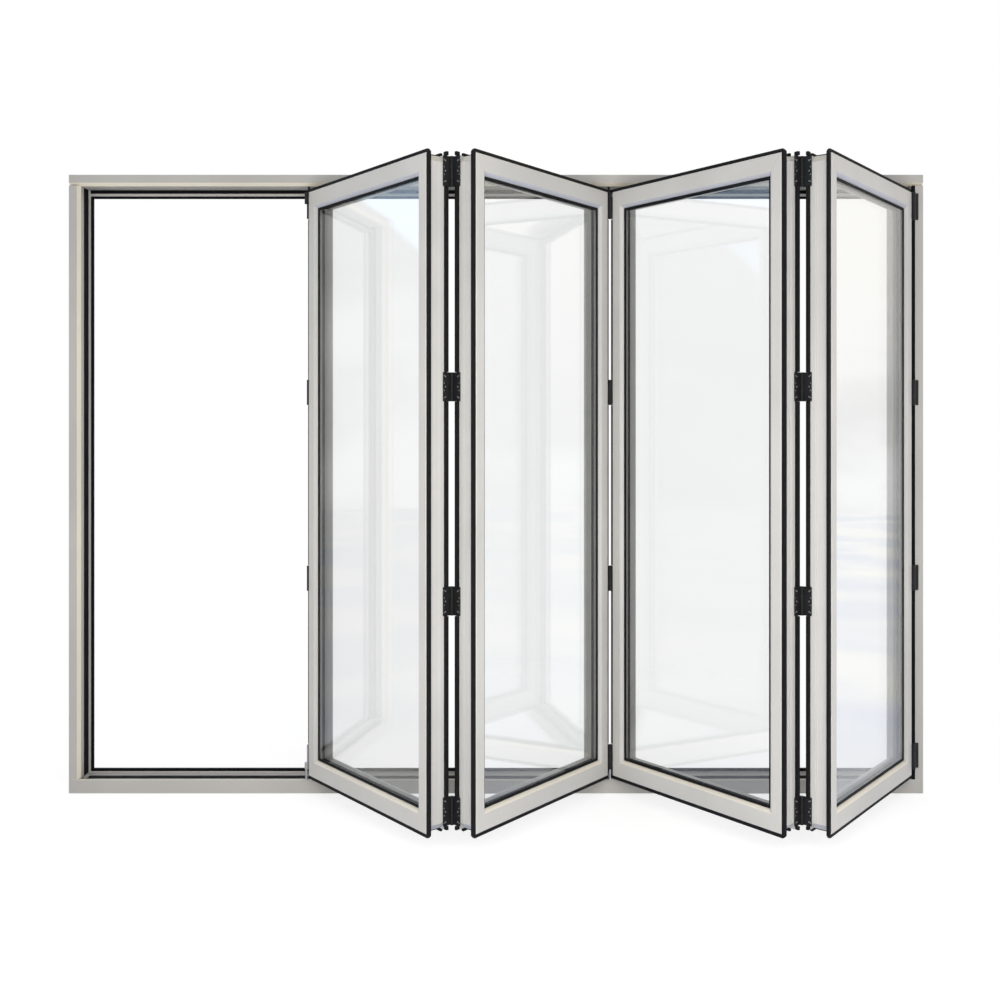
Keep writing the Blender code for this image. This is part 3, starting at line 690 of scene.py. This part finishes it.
def add_block(shape: Shape, low: Point, high: Point, chamfer: float = 0.0) -> None:
    """Add a block between two corners.

    Args:
        shape: The mesh that it goes into.
        low: Its lowest corner.
        high: Its highest corner.
        chamfer: Width of the chamfer on its edges.
    """
    middle = [(a + b) / 2 for a, b in zip(low, high)]
    size = [b - a for a, b in zip(low, high)]
    place = Matrix.Translation(middle) @ Matrix.Diagonal((*size, 1.0))
    made = bmesh.ops.create_cube(shape, size=1.0, matrix=place)
    if chamfer:
        edges = list({edge for vertex in made["verts"] for edge in vertex.link_edges})
        bmesh.ops.bevel(shape, geom=edges, offset=chamfer, segments=1, affect="EDGES")


def add_band(shape: Shape, first: Sequence, second: Sequence) -> None:
    """Join two closed rings of vertices with a band of faces.

    Args:
        shape: The mesh that they are in.
        first: Vertices of the first ring, in order round it.
        second: Those of the second.
    """
    for side in range(len(first)):
        following = (side + 1) % len(first)
        shape.faces.new((first[side], first[following], second[following], second[side]))


def add_outline(shape: Shape, place: Matrix, outline: Section, share: float, level: float) -> list:
    """Return new vertices along an outline, scaled by a share and put at a level of a screw."""
    return [shape.verts.new(place @ Vector((x * share, y * share, level))) for x, y in outline]


def circle(radius: float, sides: int, start: float = 0.0) -> Section:
    """Return points round a circle, the first one turned by start steps."""
    turns = [2 * math.pi * (step + start) / sides for step in range(sides)]
    return [(radius * math.cos(turn), radius * math.sin(turn)) for turn in turns]


def add_ring(shape: Shape, section: Section, low: Span, high: Span) -> None:
    """Run a closed section round a rectangle with mitred corners.

    Args:
        shape: The mesh that it goes into.
        section: Points (distance in from the rectangle, depth), in order round the section.
        low: The rectangle's lowest (x, z).
        high: Its highest (x, z).
    """
    rings = []
    for inset, depth in section:
        corners = ((low[0] + inset, low[1] + inset), (high[0] - inset, low[1] + inset),
                   (high[0] - inset, high[1] - inset), (low[0] + inset, high[1] - inset))
        rings.append([shape.verts.new((x, depth, z)) for x, z in corners])
    for first, second in zip(rings, rings[1:] + rings[:1]):
        add_band(shape, first, second)


@dataclass
class LeafPlace:
    """Where a leaf stands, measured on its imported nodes.

    Its own coordinates run along the leaf from its near end, from its front face to its back, and up.
    """

    letter: str
    to_door: Matrix
    width: float
    thickness: float
    foot: float
    top: float
    glass_low: Vector
    glass_high: Vector

    @classmethod
    def measure(cls, letter: str, flat: float = 0.001, digits: int = 5) -> "LeafPlace":
        """Measure one leaf.

        Args:
            letter: The leaf's letter.
            flat: How far over its lowest point the glass's underside still reaches.
            digits: Decimals of a metre within which two distances are the same.

        Returns:
            Its place.
        """
        glass = [vertex.co.copy() for vertex in frame["nodes"][f"leaf_{letter}_glass"].data.vertices]
        foot = min(point.z for point in glass)
        floor = [point for point in glass if point.z < foot + flat]
        start = min(floor, key=lambda point: point.x + point.y)
        steps = sorted({round((point - start).length, digits): point - start for point in floor}.items())
        depth, along = (step for _, step in steps[1:3])
        along = along.normalized() * math.copysign(1.0, along.x)
        depth = depth.normalized() * math.copysign(1.0, depth.y)
        turn = Matrix((along, depth, Vector((0.0, 0.0, 1.0)))).transposed().to_4x4()
        bars = [vertex.co for part in BARS
                for vertex in frame["nodes"][f"leaf_{letter}_{part}"].data.vertices]
        low, high = span_of(bars, turn.inverted())
        corner = turn @ Vector((low.x, low.y, 0.0))
        to_door = Matrix.Translation(corner) @ turn
        glass_low, glass_high = span_of(glass, to_door.inverted())
        return cls(letter, to_door, high.x - low.x, high.y - low.y, low.z, high.z, glass_low, glass_high)

    def add(self, name: str, shape: Shape, *look: object) -> Piece:
        """Add a piece of this leaf; look holds its finish, slot and smooth angle as add_piece takes them."""
        return add_piece(f"leaf_{self.letter}_{name}", shape, self.to_door, *look)


def span_of(points: Sequence[Vector], turn: Matrix) -> tuple[Vector, Vector]:
    """Measure points in other coordinates.

    Args:
        points: The points.
        turn: From their coordinates to the others.

    Returns:
        The lowest and the highest corner there.
    """
    turned = [turn @ point for point in points]
    return (Vector([min(point[axis] for point in turned) for axis in range(3)]),
            Vector([max(point[axis] for point in turned) for axis in range(3)]))


@dataclass
class LeafGlazing:
    """Sealed unit of a leaf: two panes, the spacer between them, and the gaskets that hold it."""

    place: LeafPlace
    finishes: Finishes
    pane: float = 0.004
    pane_chamfer: float = 0.0006
    spacer_inset: float = 0.0042
    spacer_width: float = 0.0073
    spacer_chamfer: float = 0.0012
    bead_lap: float = 0.011
    front_reach: float = 0.0080
    front_rise: float = 0.0026
    front_lip: float = 0.0003
    front_bulge: Section = ((0.25, 1.15), (0.6, 0.9), (0.9, 0.4))
    wedge_reach: float = 0.0052
    wedge_depth: float = 0.0079
    wedge_tail: float = 0.006
    wedge_slope: Section = ((1.0, 0.2), (0.6, 0.75), (0.2, 1.0))
    clear: float = 0.0001

    def build(self) -> list[Piece]:
        """Build the two panes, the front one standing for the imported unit, and what runs round them.

        Returns:
            The pieces.
        """
        low, high = self.place.glass_low, self.place.glass_high
        made = []
        for side, start in (("front", low.y), ("back", high.y - self.pane)):
            shape = bmesh.new()
            add_block(shape, (low.x, start, low.z), (high.x, start + self.pane, high.z), self.pane_chamfer)
            made.append(self.place.add(f"{side}_pane", shape, self.finishes.glass, Slot.GLASS))
        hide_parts(f"leaf_{self.place.letter}_glass")
        rubber = (self.finishes.gasket, Slot.RUBBER, ROUND_EDGE)
        looks = {"spacer": (self.finishes.spacer, Slot.STEEL),
                 "front_gasket": rubber, "wedge_gasket": rubber}
        for name, section in self.sections().items():
            shape = bmesh.new()
            add_ring(shape, section, (low.x, low.z), (high.x, high.z))
            made.append(self.place.add(name, shape, *looks[name]))
        return made

    def sections(self) -> dict[str, Section]:
        """Draw the spacer between the panes, the gasket before them and the wedge behind them.

        Returns:
            By name, points (distance in from the unit's edge, depth in the leaf).
        """
        low, high, clear = self.place.glass_low.y, self.place.glass_high.y, self.clear
        front, back = low + self.pane + clear, high - self.pane - clear
        outer, cut = self.spacer_inset, self.spacer_chamfer
        inner = outer + self.spacer_width
        start, face, rise = self.bead_lap, low - clear, self.front_rise
        bulge = [(start + along * self.front_reach, face - out * rise) for along, out in self.front_bulge]
        tail, foot, depth = start - self.wedge_tail, high + clear, self.wedge_depth
        slope = [(start + along * self.wedge_reach, foot + out * depth) for along, out in self.wedge_slope]
        return {"spacer": [(outer, front + cut), (outer + cut, front), (inner, front), (inner, back),
                           (outer + cut, back), (outer, back - cut)],
                "front_gasket": [(start, face), (start - self.front_lip, face - rise), *bulge,
                                 (start + self.front_reach, face)],
                "wedge_gasket": [(tail, foot), (start + self.wedge_reach, foot), *slope,
                                 (tail, foot + depth)]}


@dataclass
class LeafEdgeRibs:
    """Fine ribs that run round the edge of a leaf between its two seals."""

    place: LeafPlace
    finishes: Finishes
    depths: tuple[float, ...] = (0.0275, 0.0335, 0.0445, 0.0505)
    rib_width: float = 0.0022
    rib_height: float = 0.0008
    crown: Section = ((0.6, 0.8), (1.0, 0.4))
    root: float = 0.0003
    corner_relief: float = 0.0205
    smooth: float = 35.0

    def build(self) -> Piece:
        """Build the ribs of the leaf.

        Returns:
            One piece with all the ribs.
        """
        shape = bmesh.new()
        width, foot, top = self.place.width, self.place.foot, self.place.top
        clear = self.corner_relief
        for depth in self.depths:
            for edge, side in ((0.0, -1), (width, 1)):
                self.add_rib(shape, depth, foot + clear, top - clear,
                             lambda out, along: (edge + side * out, along))
            for edge, side in ((foot, -1), (top, 1)):
                self.add_rib(shape, depth, clear, width - clear,
                             lambda out, along: (along, edge + side * out))
        return self.place.add("edge_ribs", shape, self.finishes.edge_paint, Slot.PAINT, self.smooth)

    def add_rib(self, shape: Shape, depth: float, start: float, end: float,
                spot: Callable[[float, float], Span]) -> None:
        """Add one straight rib with sloped ends.

        Args:
            shape: The mesh that it goes into.
            depth: Its middle, from the leaf's front face.
            start: Where it starts along the edge.
            end: Where it ends along the edge.
            spot: Turns (height over the edge, way along it) into the leaf's (x, z).
        """
        half = self.rib_width / 2
        crown = [(up * self.rib_height, across * half) for up, across in self.crown]
        section = [(-self.root, -half), *((up, -across) for up, across in crown), *reversed(crown),
                   (-self.root, half)]
        rings = []
        for along, inward in ((start, 1), (end, -1)):
            ring = []
            for out, step in section:
                x, z = spot(out, along + inward * max(out, 0.0))
                ring.append(shape.verts.new((x, depth + step, z)))
            rings.append(ring)
        add_band(shape, *rings)
        for ring in rings:
            shape.faces.new(ring)


@dataclass(frozen=True)
class Screw:
    """Pan-head screw with a cross recess, or a flush one without; its axis points out of what it holds."""

    radius: float = 0.0024
    sides: int = 20
    turn: float = 0.5
    dome: Section = ((1.0, 0.0), (1.0, 0.00054), (0.88, 0.00096), (0.66, 0.0012))
    recess: float = 0.0007
    recess_share: float = 0.7
    blade: float = 0.0005
    arm: float = 0.0014

    def add_to(self, shape: Shape, place: Matrix) -> None:
        """Add a screw head to a mesh.

        Args:
            shape: The mesh.
            place: From the screw's coordinates to the door's.
        """
        rim = circle(self.radius, self.sides, self.turn)
        rings = [add_outline(shape, place, rim, share, level) for share, level in self.dome]
        for lower, upper in zip(rings, rings[1:]):
            add_band(shape, lower, upper)
        if not self.recess:
            shape.faces.new(rings[-1])
        shape.faces.new(list(reversed(rings[0])))
        if self.recess:
            self.add_recess(shape, place, rings[-1])

    def add_recess(self, shape: Shape, place: Matrix, rim: list) -> None:
        """Close the top of a head with a cross recess in it.

        Args:
            shape: The mesh.
            place: From the screw's coordinates to the door's.
            rim: Vertices round the top.
        """
        cross, top = self.cross_points(), self.dome[-1][1]
        lip = add_outline(shape, place, cross, 1.0, top)
        floor = add_outline(shape, place, cross, self.recess_share, top - self.recess)
        add_band(shape, lip, floor)
        shape.faces.new(floor)
        edges = [shape.edges.get(pair) for loop in (rim, lip) for pair in zip(loop, loop[1:] + loop[:1])]
        bmesh.ops.triangle_fill(shape, use_beauty=True, edges=edges)

    def cross_points(self) -> list[Span]:
        """Draw the outline of the cross recess.

        Returns:
            Its points, in order round it.
        """
        blade, arm = self.blade, self.arm
        quarter = [(arm, -blade), (arm, blade), (blade, blade)]
        points = []
        for turn in range(4):
            cosine, sine = math.cos(turn * math.pi / 2), math.sin(turn * math.pi / 2)
            points += [(x * cosine - y * sine, x * sine + y * cosine) for x, y in quarter]
        return points


@dataclass(frozen=True)
class ScrewRow:
    """A row of equal screws up each flap."""

    kind: str
    screw: Screw
    line: float
    spacing: float
    steps: tuple[float, ...]


@dataclass
class HingeScrews:
    """Pan-head and grub screws in the flaps that lie on one end of a leaf."""

    place: LeafPlace
    finishes: Finishes
    end: End
    at_front: bool
    flap_reach: float = 0.006
    flap_margin: float = 0.012
    rows: tuple[ScrewRow, ...] = (
        ScrewRow("screws", Screw(), line=0.0105, spacing=0.0300, steps=(-1, 0, 1)),
        ScrewRow("grub_screws", Screw(radius=0.0016, sides=12, turn=0.0, recess=0.0,
                                      dome=((1.0, 0.0), (1.0, 0.0002), (0.85, 0.0003))),
                 line=0.0150, spacing=0.0216, steps=(-1.5, -0.5, 0.5, 1.5)))

    def build(self, hinges: Sequence[str]) -> list[Piece]:
        """Build the screws.

        Args:
            hinges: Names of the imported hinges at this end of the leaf.

        Returns:
            The pieces.
        """
        made = []
        for row, metal in zip(self.rows, (self.finishes.zinc, self.finishes.steel)):
            shape = bmesh.new()
            for hinge in hinges:
                face = self.flap_face(hinge)
                low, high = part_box(hinge)
                for step in row.steps:
                    level = (low.z + high.z) / 2 + step * row.spacing
                    row.screw.add_to(shape, self.stand(face, row.line, level))
            name = f"leaf_{self.place.letter}_{self.end.name.lower()}_hinge_{row.kind}"
            made.append(add_piece(name, shape, Matrix(), metal, Slot.STEEL, ROUND_EDGE))
        return made

    def flap_face(self, hinge: str) -> float:
        """Measure how far along the leaf the open face of a flap lies.

        Args:
            hinge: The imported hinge.

        Returns:
            The place of the open face in the leaf's own coordinates.
        """
        near = self.end is End.NEAR
        edge = 0.0 if near else self.place.width
        outer, margin = self.place.thickness, self.flap_margin
        low, high = (margin, outer / 2) if self.at_front else (outer / 2, outer - margin)
        back = self.place.to_door.inverted()
        points = [back @ vertex.co for vertex in frame["nodes"][hinge].data.vertices]
        deep = [point.x for point in points
                if abs(point.x - edge) < self.flap_reach and low < point.y < high]
        return min(deep) if near else max(deep)

    def stand(self, face: float, line: float, level: float) -> Matrix:
        """Place a screw on a flap.

        Args:
            face: Place of the flap's open face along the leaf.
            line: Distance of the screw from the leaf's face.
            level: Height.

        Returns:
            From the screw's coordinates to the door's.
        """
        depth = line if self.at_front else self.place.thickness - line
        turn = Matrix.Rotation(self.end.value * math.pi / 2, 4, "Y")
        return self.place.to_door @ Matrix.Translation((face, depth, level)) @ turn


@dataclass
class Leaf:
    """One leaf: the finish of its bars and seals, and the glazing, ribs and screws added to it."""

    letter: str
    finishes: Finishes
    near_hinges: str
    near_front: bool
    far_hinges: str

    def build(self) -> None:
        """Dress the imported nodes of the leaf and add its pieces."""
        prefix = f"leaf_{self.letter}_"
        bars = [prefix + part for part in BARS]
        dress(bars, self.finishes.leaf_paint)
        dress([prefix + "edge_seal"], self.finishes.rubber)
        place = LeafPlace.measure(self.letter)
        made = LeafGlazing(place, self.finishes).build()
        made.append(LeafEdgeRibs(place, self.finishes).build())
        for end, at_front, joint in ((End.NEAR, self.near_front, self.near_hinges),
                                     (End.FAR, not self.near_front, self.far_hinges)):
            made += HingeScrews(place, self.finishes, end, at_front).build(FrameNames.hinges(joint))
        LOG.info("leaf %s: %d nodes dressed, %d pieces added", self.letter, len(bars) + 1, len(made))


class FrameNames:
    """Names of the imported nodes, by what they are."""

    LEVELS = ("bottom", "lower", "upper", "top")
    END_PLATES = ("end_bracket_bottom", "end_plate_lower", "end_plate_upper", "end_bracket_top")
    JOINTS = ("ab", "bc", "cd", "jamb")

    @classmethod
    def hinges(cls, joint: str) -> list[str]:
        """Name the hinges of a joint.

        Args:
            joint: The letters of its two leaves, "jamb", or "end" for the free edge.

        Returns:
            The four hinges, or the brackets and plates of the free edge.
        """
        if joint == "end":
            return list(cls.END_PLATES)
        return [f"hinge_{joint}_{level}" for level in cls.LEVELS]


@dataclass
class OuterFrame:
    """The fixed frame with its seals."""

    finishes: Finishes
    screw: Screw = Screw()
    plate_inset: float = 0.0075
    plate_margin: float = 0.004
    screw_levels: tuple[float, ...] = (0.18, 0.5, 0.82)

    def build(self) -> None:
        """Dress the frame and its seals, and screw the hinge plates to the right jamb."""
        bars = ["frame_head", "frame_sill", "frame_jamb_left", "frame_jamb_right"]
        seals = ["reveal_seal_left", "reveal_seal_right", "hinge_side_seal", "head_seal", "threshold_strip",
                 "frame_back_seal"]
        dress(bars, self.finishes.frame_paint)
        dress(seals, self.finishes.frame_rubber)
        shape = bmesh.new()
        for hinge in FrameNames.hinges("jamb"):
            low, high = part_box(hinge)
            face = self.plate_face(hinge, high.x)
            for share in self.screw_levels:
                level = low.z + share * (high.z - low.z)
                place = Matrix.Translation((high.x - self.plate_inset, face, level))
                self.screw.add_to(shape, place @ Matrix.Rotation(math.pi / 2, 4, "X"))
        add_piece("jamb_plate_screws", shape, Matrix(), self.finishes.hardware, Slot.HARDWARE, ROUND_EDGE)
        LOG.info("outer frame: %d nodes dressed, jamb screws added", len(bars) + len(seals))

    def plate_face(self, hinge: str, end: float) -> float:
        """Return the depth of the front face of a hinge's jamb plate, which ends at end."""
        points = [vertex.co for vertex in frame["nodes"][hinge].data.vertices]
        return min(point.y for point in points if point.x > end - self.plate_margin)


@dataclass
class Ironmongery:
    """Hinges, carriers and guides."""

    finishes: Finishes

    def build(self) -> None:
        """Dress every hinge, carrier and guide."""
        black = [hinge for joint in FrameNames.JOINTS for hinge in FrameNames.hinges(joint)]
        black += ["end_bracket_top", "end_plate_upper", "end_plate_lower", "middle_carrier", "end_carrier"]
        bright = ["end_bracket_bottom", "middle_guide", "end_guide"]
        dress(black, self.finishes.hardware)
        dress(bright, self.finishes.steel)
        LOG.info("ironmongery: %d black and %d bright nodes dressed", len(black), len(bright))


@dataclass
class SoftBox:
    """A large soft lamp that looks at one point."""

    name: str
    place: Point
    aim: Point
    size: Span
    power: float
    colour: Colour = WHITE

    def build(self) -> None:
        """Build the lamp."""
        light = bpy.data.lights.new(self.name, "AREA")
        light.shape = "RECTANGLE"
        light.size, light.size_y = self.size
        light.energy = self.power
        light.color = self.colour
        lamp = bpy.data.objects.new(self.name, light)
        lamp.location = self.place
        lamp.rotation_euler = (Vector(self.aim) - Vector(self.place)).to_track_quat("-Z", "Y").to_euler()
        lamp.visible_camera = False
        lamp.visible_transmission = False
        lamp.visible_glossy = False
        bpy.context.scene.collection.objects.link(lamp)


@dataclass
class Floor:
    """The pale floor, white to the camera apart from soft shadows near the door."""

    radius: float = 14.0
    sides: int = 96
    colour: Colour = (0.74, 0.76, 0.79)
    shadow_colour: Colour = (0.45, 0.45, 0.45)
    shadow_glow: float = 0.72
    shadow_end: Span = (1.55, 2.1)
    mirrored_span: TwoSpans = (-2.0, 1.0, 0.50, 0.88)
    patch_size: float = 1 / 0.7
    patch_edges: Span = (0.38, 0.62)
    warm_patch: Colour = (1.10, 1.08, 1.04)
    cool_patch: Colour = (0.80, 0.84, 0.96)

    def build(self) -> None:
        """Build the floor: pale for the light that it sends up, and patchy where the panes mirror it."""
        shape = bmesh.new()
        bmesh.ops.create_circle(shape, cap_ends=True, radius=self.radius, segments=self.sides)
        mesh = bpy.data.meshes.new("floor")
        shape.to_mesh(mesh)
        shape.free()
        floor = bpy.data.objects.new("floor", mesh)
        bpy.context.scene.collection.objects.link(floor)
        coat = CoatGraph("pale_floor")
        coat.tree.nodes.remove(coat.shader)
        half = coat.add("ShaderNodeBsdfDiffuse", {"Color": self.shadow_colour}).outputs[0]
        glow = coat.light(EMISSION, WHITE, self.shadow_glow)
        shadowed = coat.add("ShaderNodeAddShader", {0: half, 1: glow}).outputs[0]
        distance = coat.add("ShaderNodeVectorMath", {0: coat.place()}, operation="LENGTH").outputs["Value"]
        seen = coat.blend(coat.ramp(distance, *self.shadow_end), shadowed, coat.light(EMISSION, WHITE))
        pale = coat.add("ShaderNodeBsdfDiffuse", {"Color": self.colour}).outputs[0]
        coat.show(by_sight(coat, pale, coat.light(EMISSION, self.mirrored(coat)), seen))
        mesh.materials.append(coat.material)

    def mirrored(self, coat: CoatGraph) -> object:
        """Make what the panes mirror of the floor.

        Args:
            coat: The floor's graph.

        Returns:
            The colour: paler towards the hung side, in warm and cool patches.
        """
        near = coat.place()
        tone = coat.ramp(coat.parts(near)["X"], *self.mirrored_span)
        share = coat.ramp(coat.noise(near, self.patch_size, detail=2.0), *self.patch_edges)
        return coat.toned(coat.mix(share, self.warm_patch, self.cool_patch), tone)


@dataclass
class Surroundings:
    """The world: white behind the door, soft grey light, and a bright sky for reflections."""

    light_colour: Colour = (0.97, 0.98, 1.0)
    light_strength: float = 0.45
    side_span: Span = (-0.5, 0.5)
    cool_sky: Colour = (0.90, 1.13, 1.42)
    warm_sky: Colour = (0.98, 0.95, 0.90)
    cloud_stretch: Point = (1.0, 1.0, 2.5)
    cloud_size: float = 0.2
    cloud_tones: Span = (0.72, 1.28)
    haze_span: TwoSpans = (0.10, 0.25, 0.30, 0.60)
    side_haze: float = 0.90
    bank_start: float = 0.0138
    bank_width: float = 0.268
    bank_foot: float = 0.123
    bank_rise: float = 0.247
    bank_edge: Span = (-0.006, 0.008)
    side_edge: Span = (-0.05, 0.16)

    def build(self) -> None:
        """Build the world."""
        world = bpy.data.worlds.new("surroundings")
        world.use_nodes = True
        bpy.context.scene.world = world
        graph = Graph(world.node_tree)
        graph.tree.nodes.remove(graph.tree.nodes["Background"])
        soft = graph.light(BACKGROUND, self.light_colour, self.light_strength)
        mirrored = graph.light(BACKGROUND, self.mirrored(graph))
        whole = by_sight(graph, soft, mirrored, graph.light(BACKGROUND, WHITE))
        graph.feed(graph.tree.nodes["World Output"].inputs["Surface"], whole)

    def mirrored(self, graph: Graph) -> object:
        """Make what the panes mirror: clear sky over slanting banks of haze, and cloud.

        Args:
            graph: The world's graph.

        Returns:
            The colour.
        """
        parts = graph.parts(graph.place(kind="Generated"))
        side = graph.ramp(parts["X"], *self.side_span)
        front = graph.rest_of(side)
        streaks = graph.noise(graph.place(self.cloud_stretch, "Generated"), self.cloud_size, detail=3.0)
        clouds = graph.spread(streaks, *self.cloud_tones)
        behind = graph.times(graph.ramp(parts["Y"], *self.haze_span), front)
        haze = graph.times(clouds, graph.math("ADD", behind, graph.times(side, self.side_haze)))
        steps = graph.math("DIVIDE", graph.math("ADD", parts["Y"], self.bank_start), self.bank_width)
        rise = graph.times(graph.math("FRACT", steps), self.bank_rise)
        over_bank = graph.math("SUBTRACT", parts["Z"], graph.math("ADD", rise, self.bank_foot))
        front_clear = graph.times(graph.ramp(over_bank, *self.bank_edge), front)
        side_clear = graph.times(side, graph.ramp(parts["Z"], *self.side_edge))
        sky = graph.mix(side, self.cool_sky, self.warm_sky)
        return graph.mix(graph.math("ADD", front_clear, side_clear), graph.grey(haze), sky)


@dataclass
class Studio:
    """Floor, surroundings, soft lamps and the camera."""

    camera_place: Point = (0.016, -3.796, 1.2377)
    lens: float = 39.78
    shift: Span = (-0.0007, -0.0712)
    lamps: tuple[SoftBox, ...] = (
        SoftBox("left_soft_box", (-5.0, -1.2, 1.1), (0.0, -0.3, 0.9), (2.4, 2.2), 42.0, WARM_LIGHT),
        SoftBox("right_soft_box", (5.0, -1.2, 1.1), (0.0, -0.3, 0.9), (2.4, 2.2), 38.0, WARM_LIGHT),
        SoftBox("front_soft_box", (0.25, -2.05, 1.12), (0.25, -0.5, 1.05), (3.2, 2.3), 48.0, WARM_LIGHT),
        SoftBox("back_soft_box", (0.0, 4.6, 0.8), (0.0, 0.0, 1.3), (4.4, 1.5), 85.0),
    )

    def build(self) -> None:
        """Build the floor, the surroundings, the lamps and the camera."""
        Floor().build()
        Surroundings().build()
        for lamp in self.lamps:
            lamp.build()
        self.build_camera()
        bpy.context.scene.view_settings.view_transform = "Standard"
        LOG.info("studio: floor, surroundings, %d lamps and camera", len(self.lamps))

    def build_camera(self) -> None:
        """Build the camera, level and square to the frame."""
        camera = bpy.data.cameras.new("camera")
        camera.lens = self.lens
        camera.shift_x, camera.shift_y = self.shift
        eye = bpy.data.objects.new("camera", camera)
        eye.location = self.camera_place
        eye.rotation_euler = (math.pi / 2, 0.0, 0.0)
        bpy.context.scene.collection.objects.link(eye)
        bpy.context.scene.camera = eye


def main() -> None:
    """Build the door's looks and the studio."""
    logging.basicConfig(level=logging.INFO, format="%(name)s: %(message)s")
    finishes = Finishes()
    OuterFrame(finishes).build()
    for letter, near, near_front, far in (("a", "end", True, "ab"), ("b", "ab", False, "bc"),
                                          ("c", "bc", True, "cd"), ("d", "cd", False, "jamb")):
        Leaf(letter, finishes, near, near_front, far).build()
    Ironmongery(finishes).build()
    Studio().build()


if __name__ == "__main__":
    main()
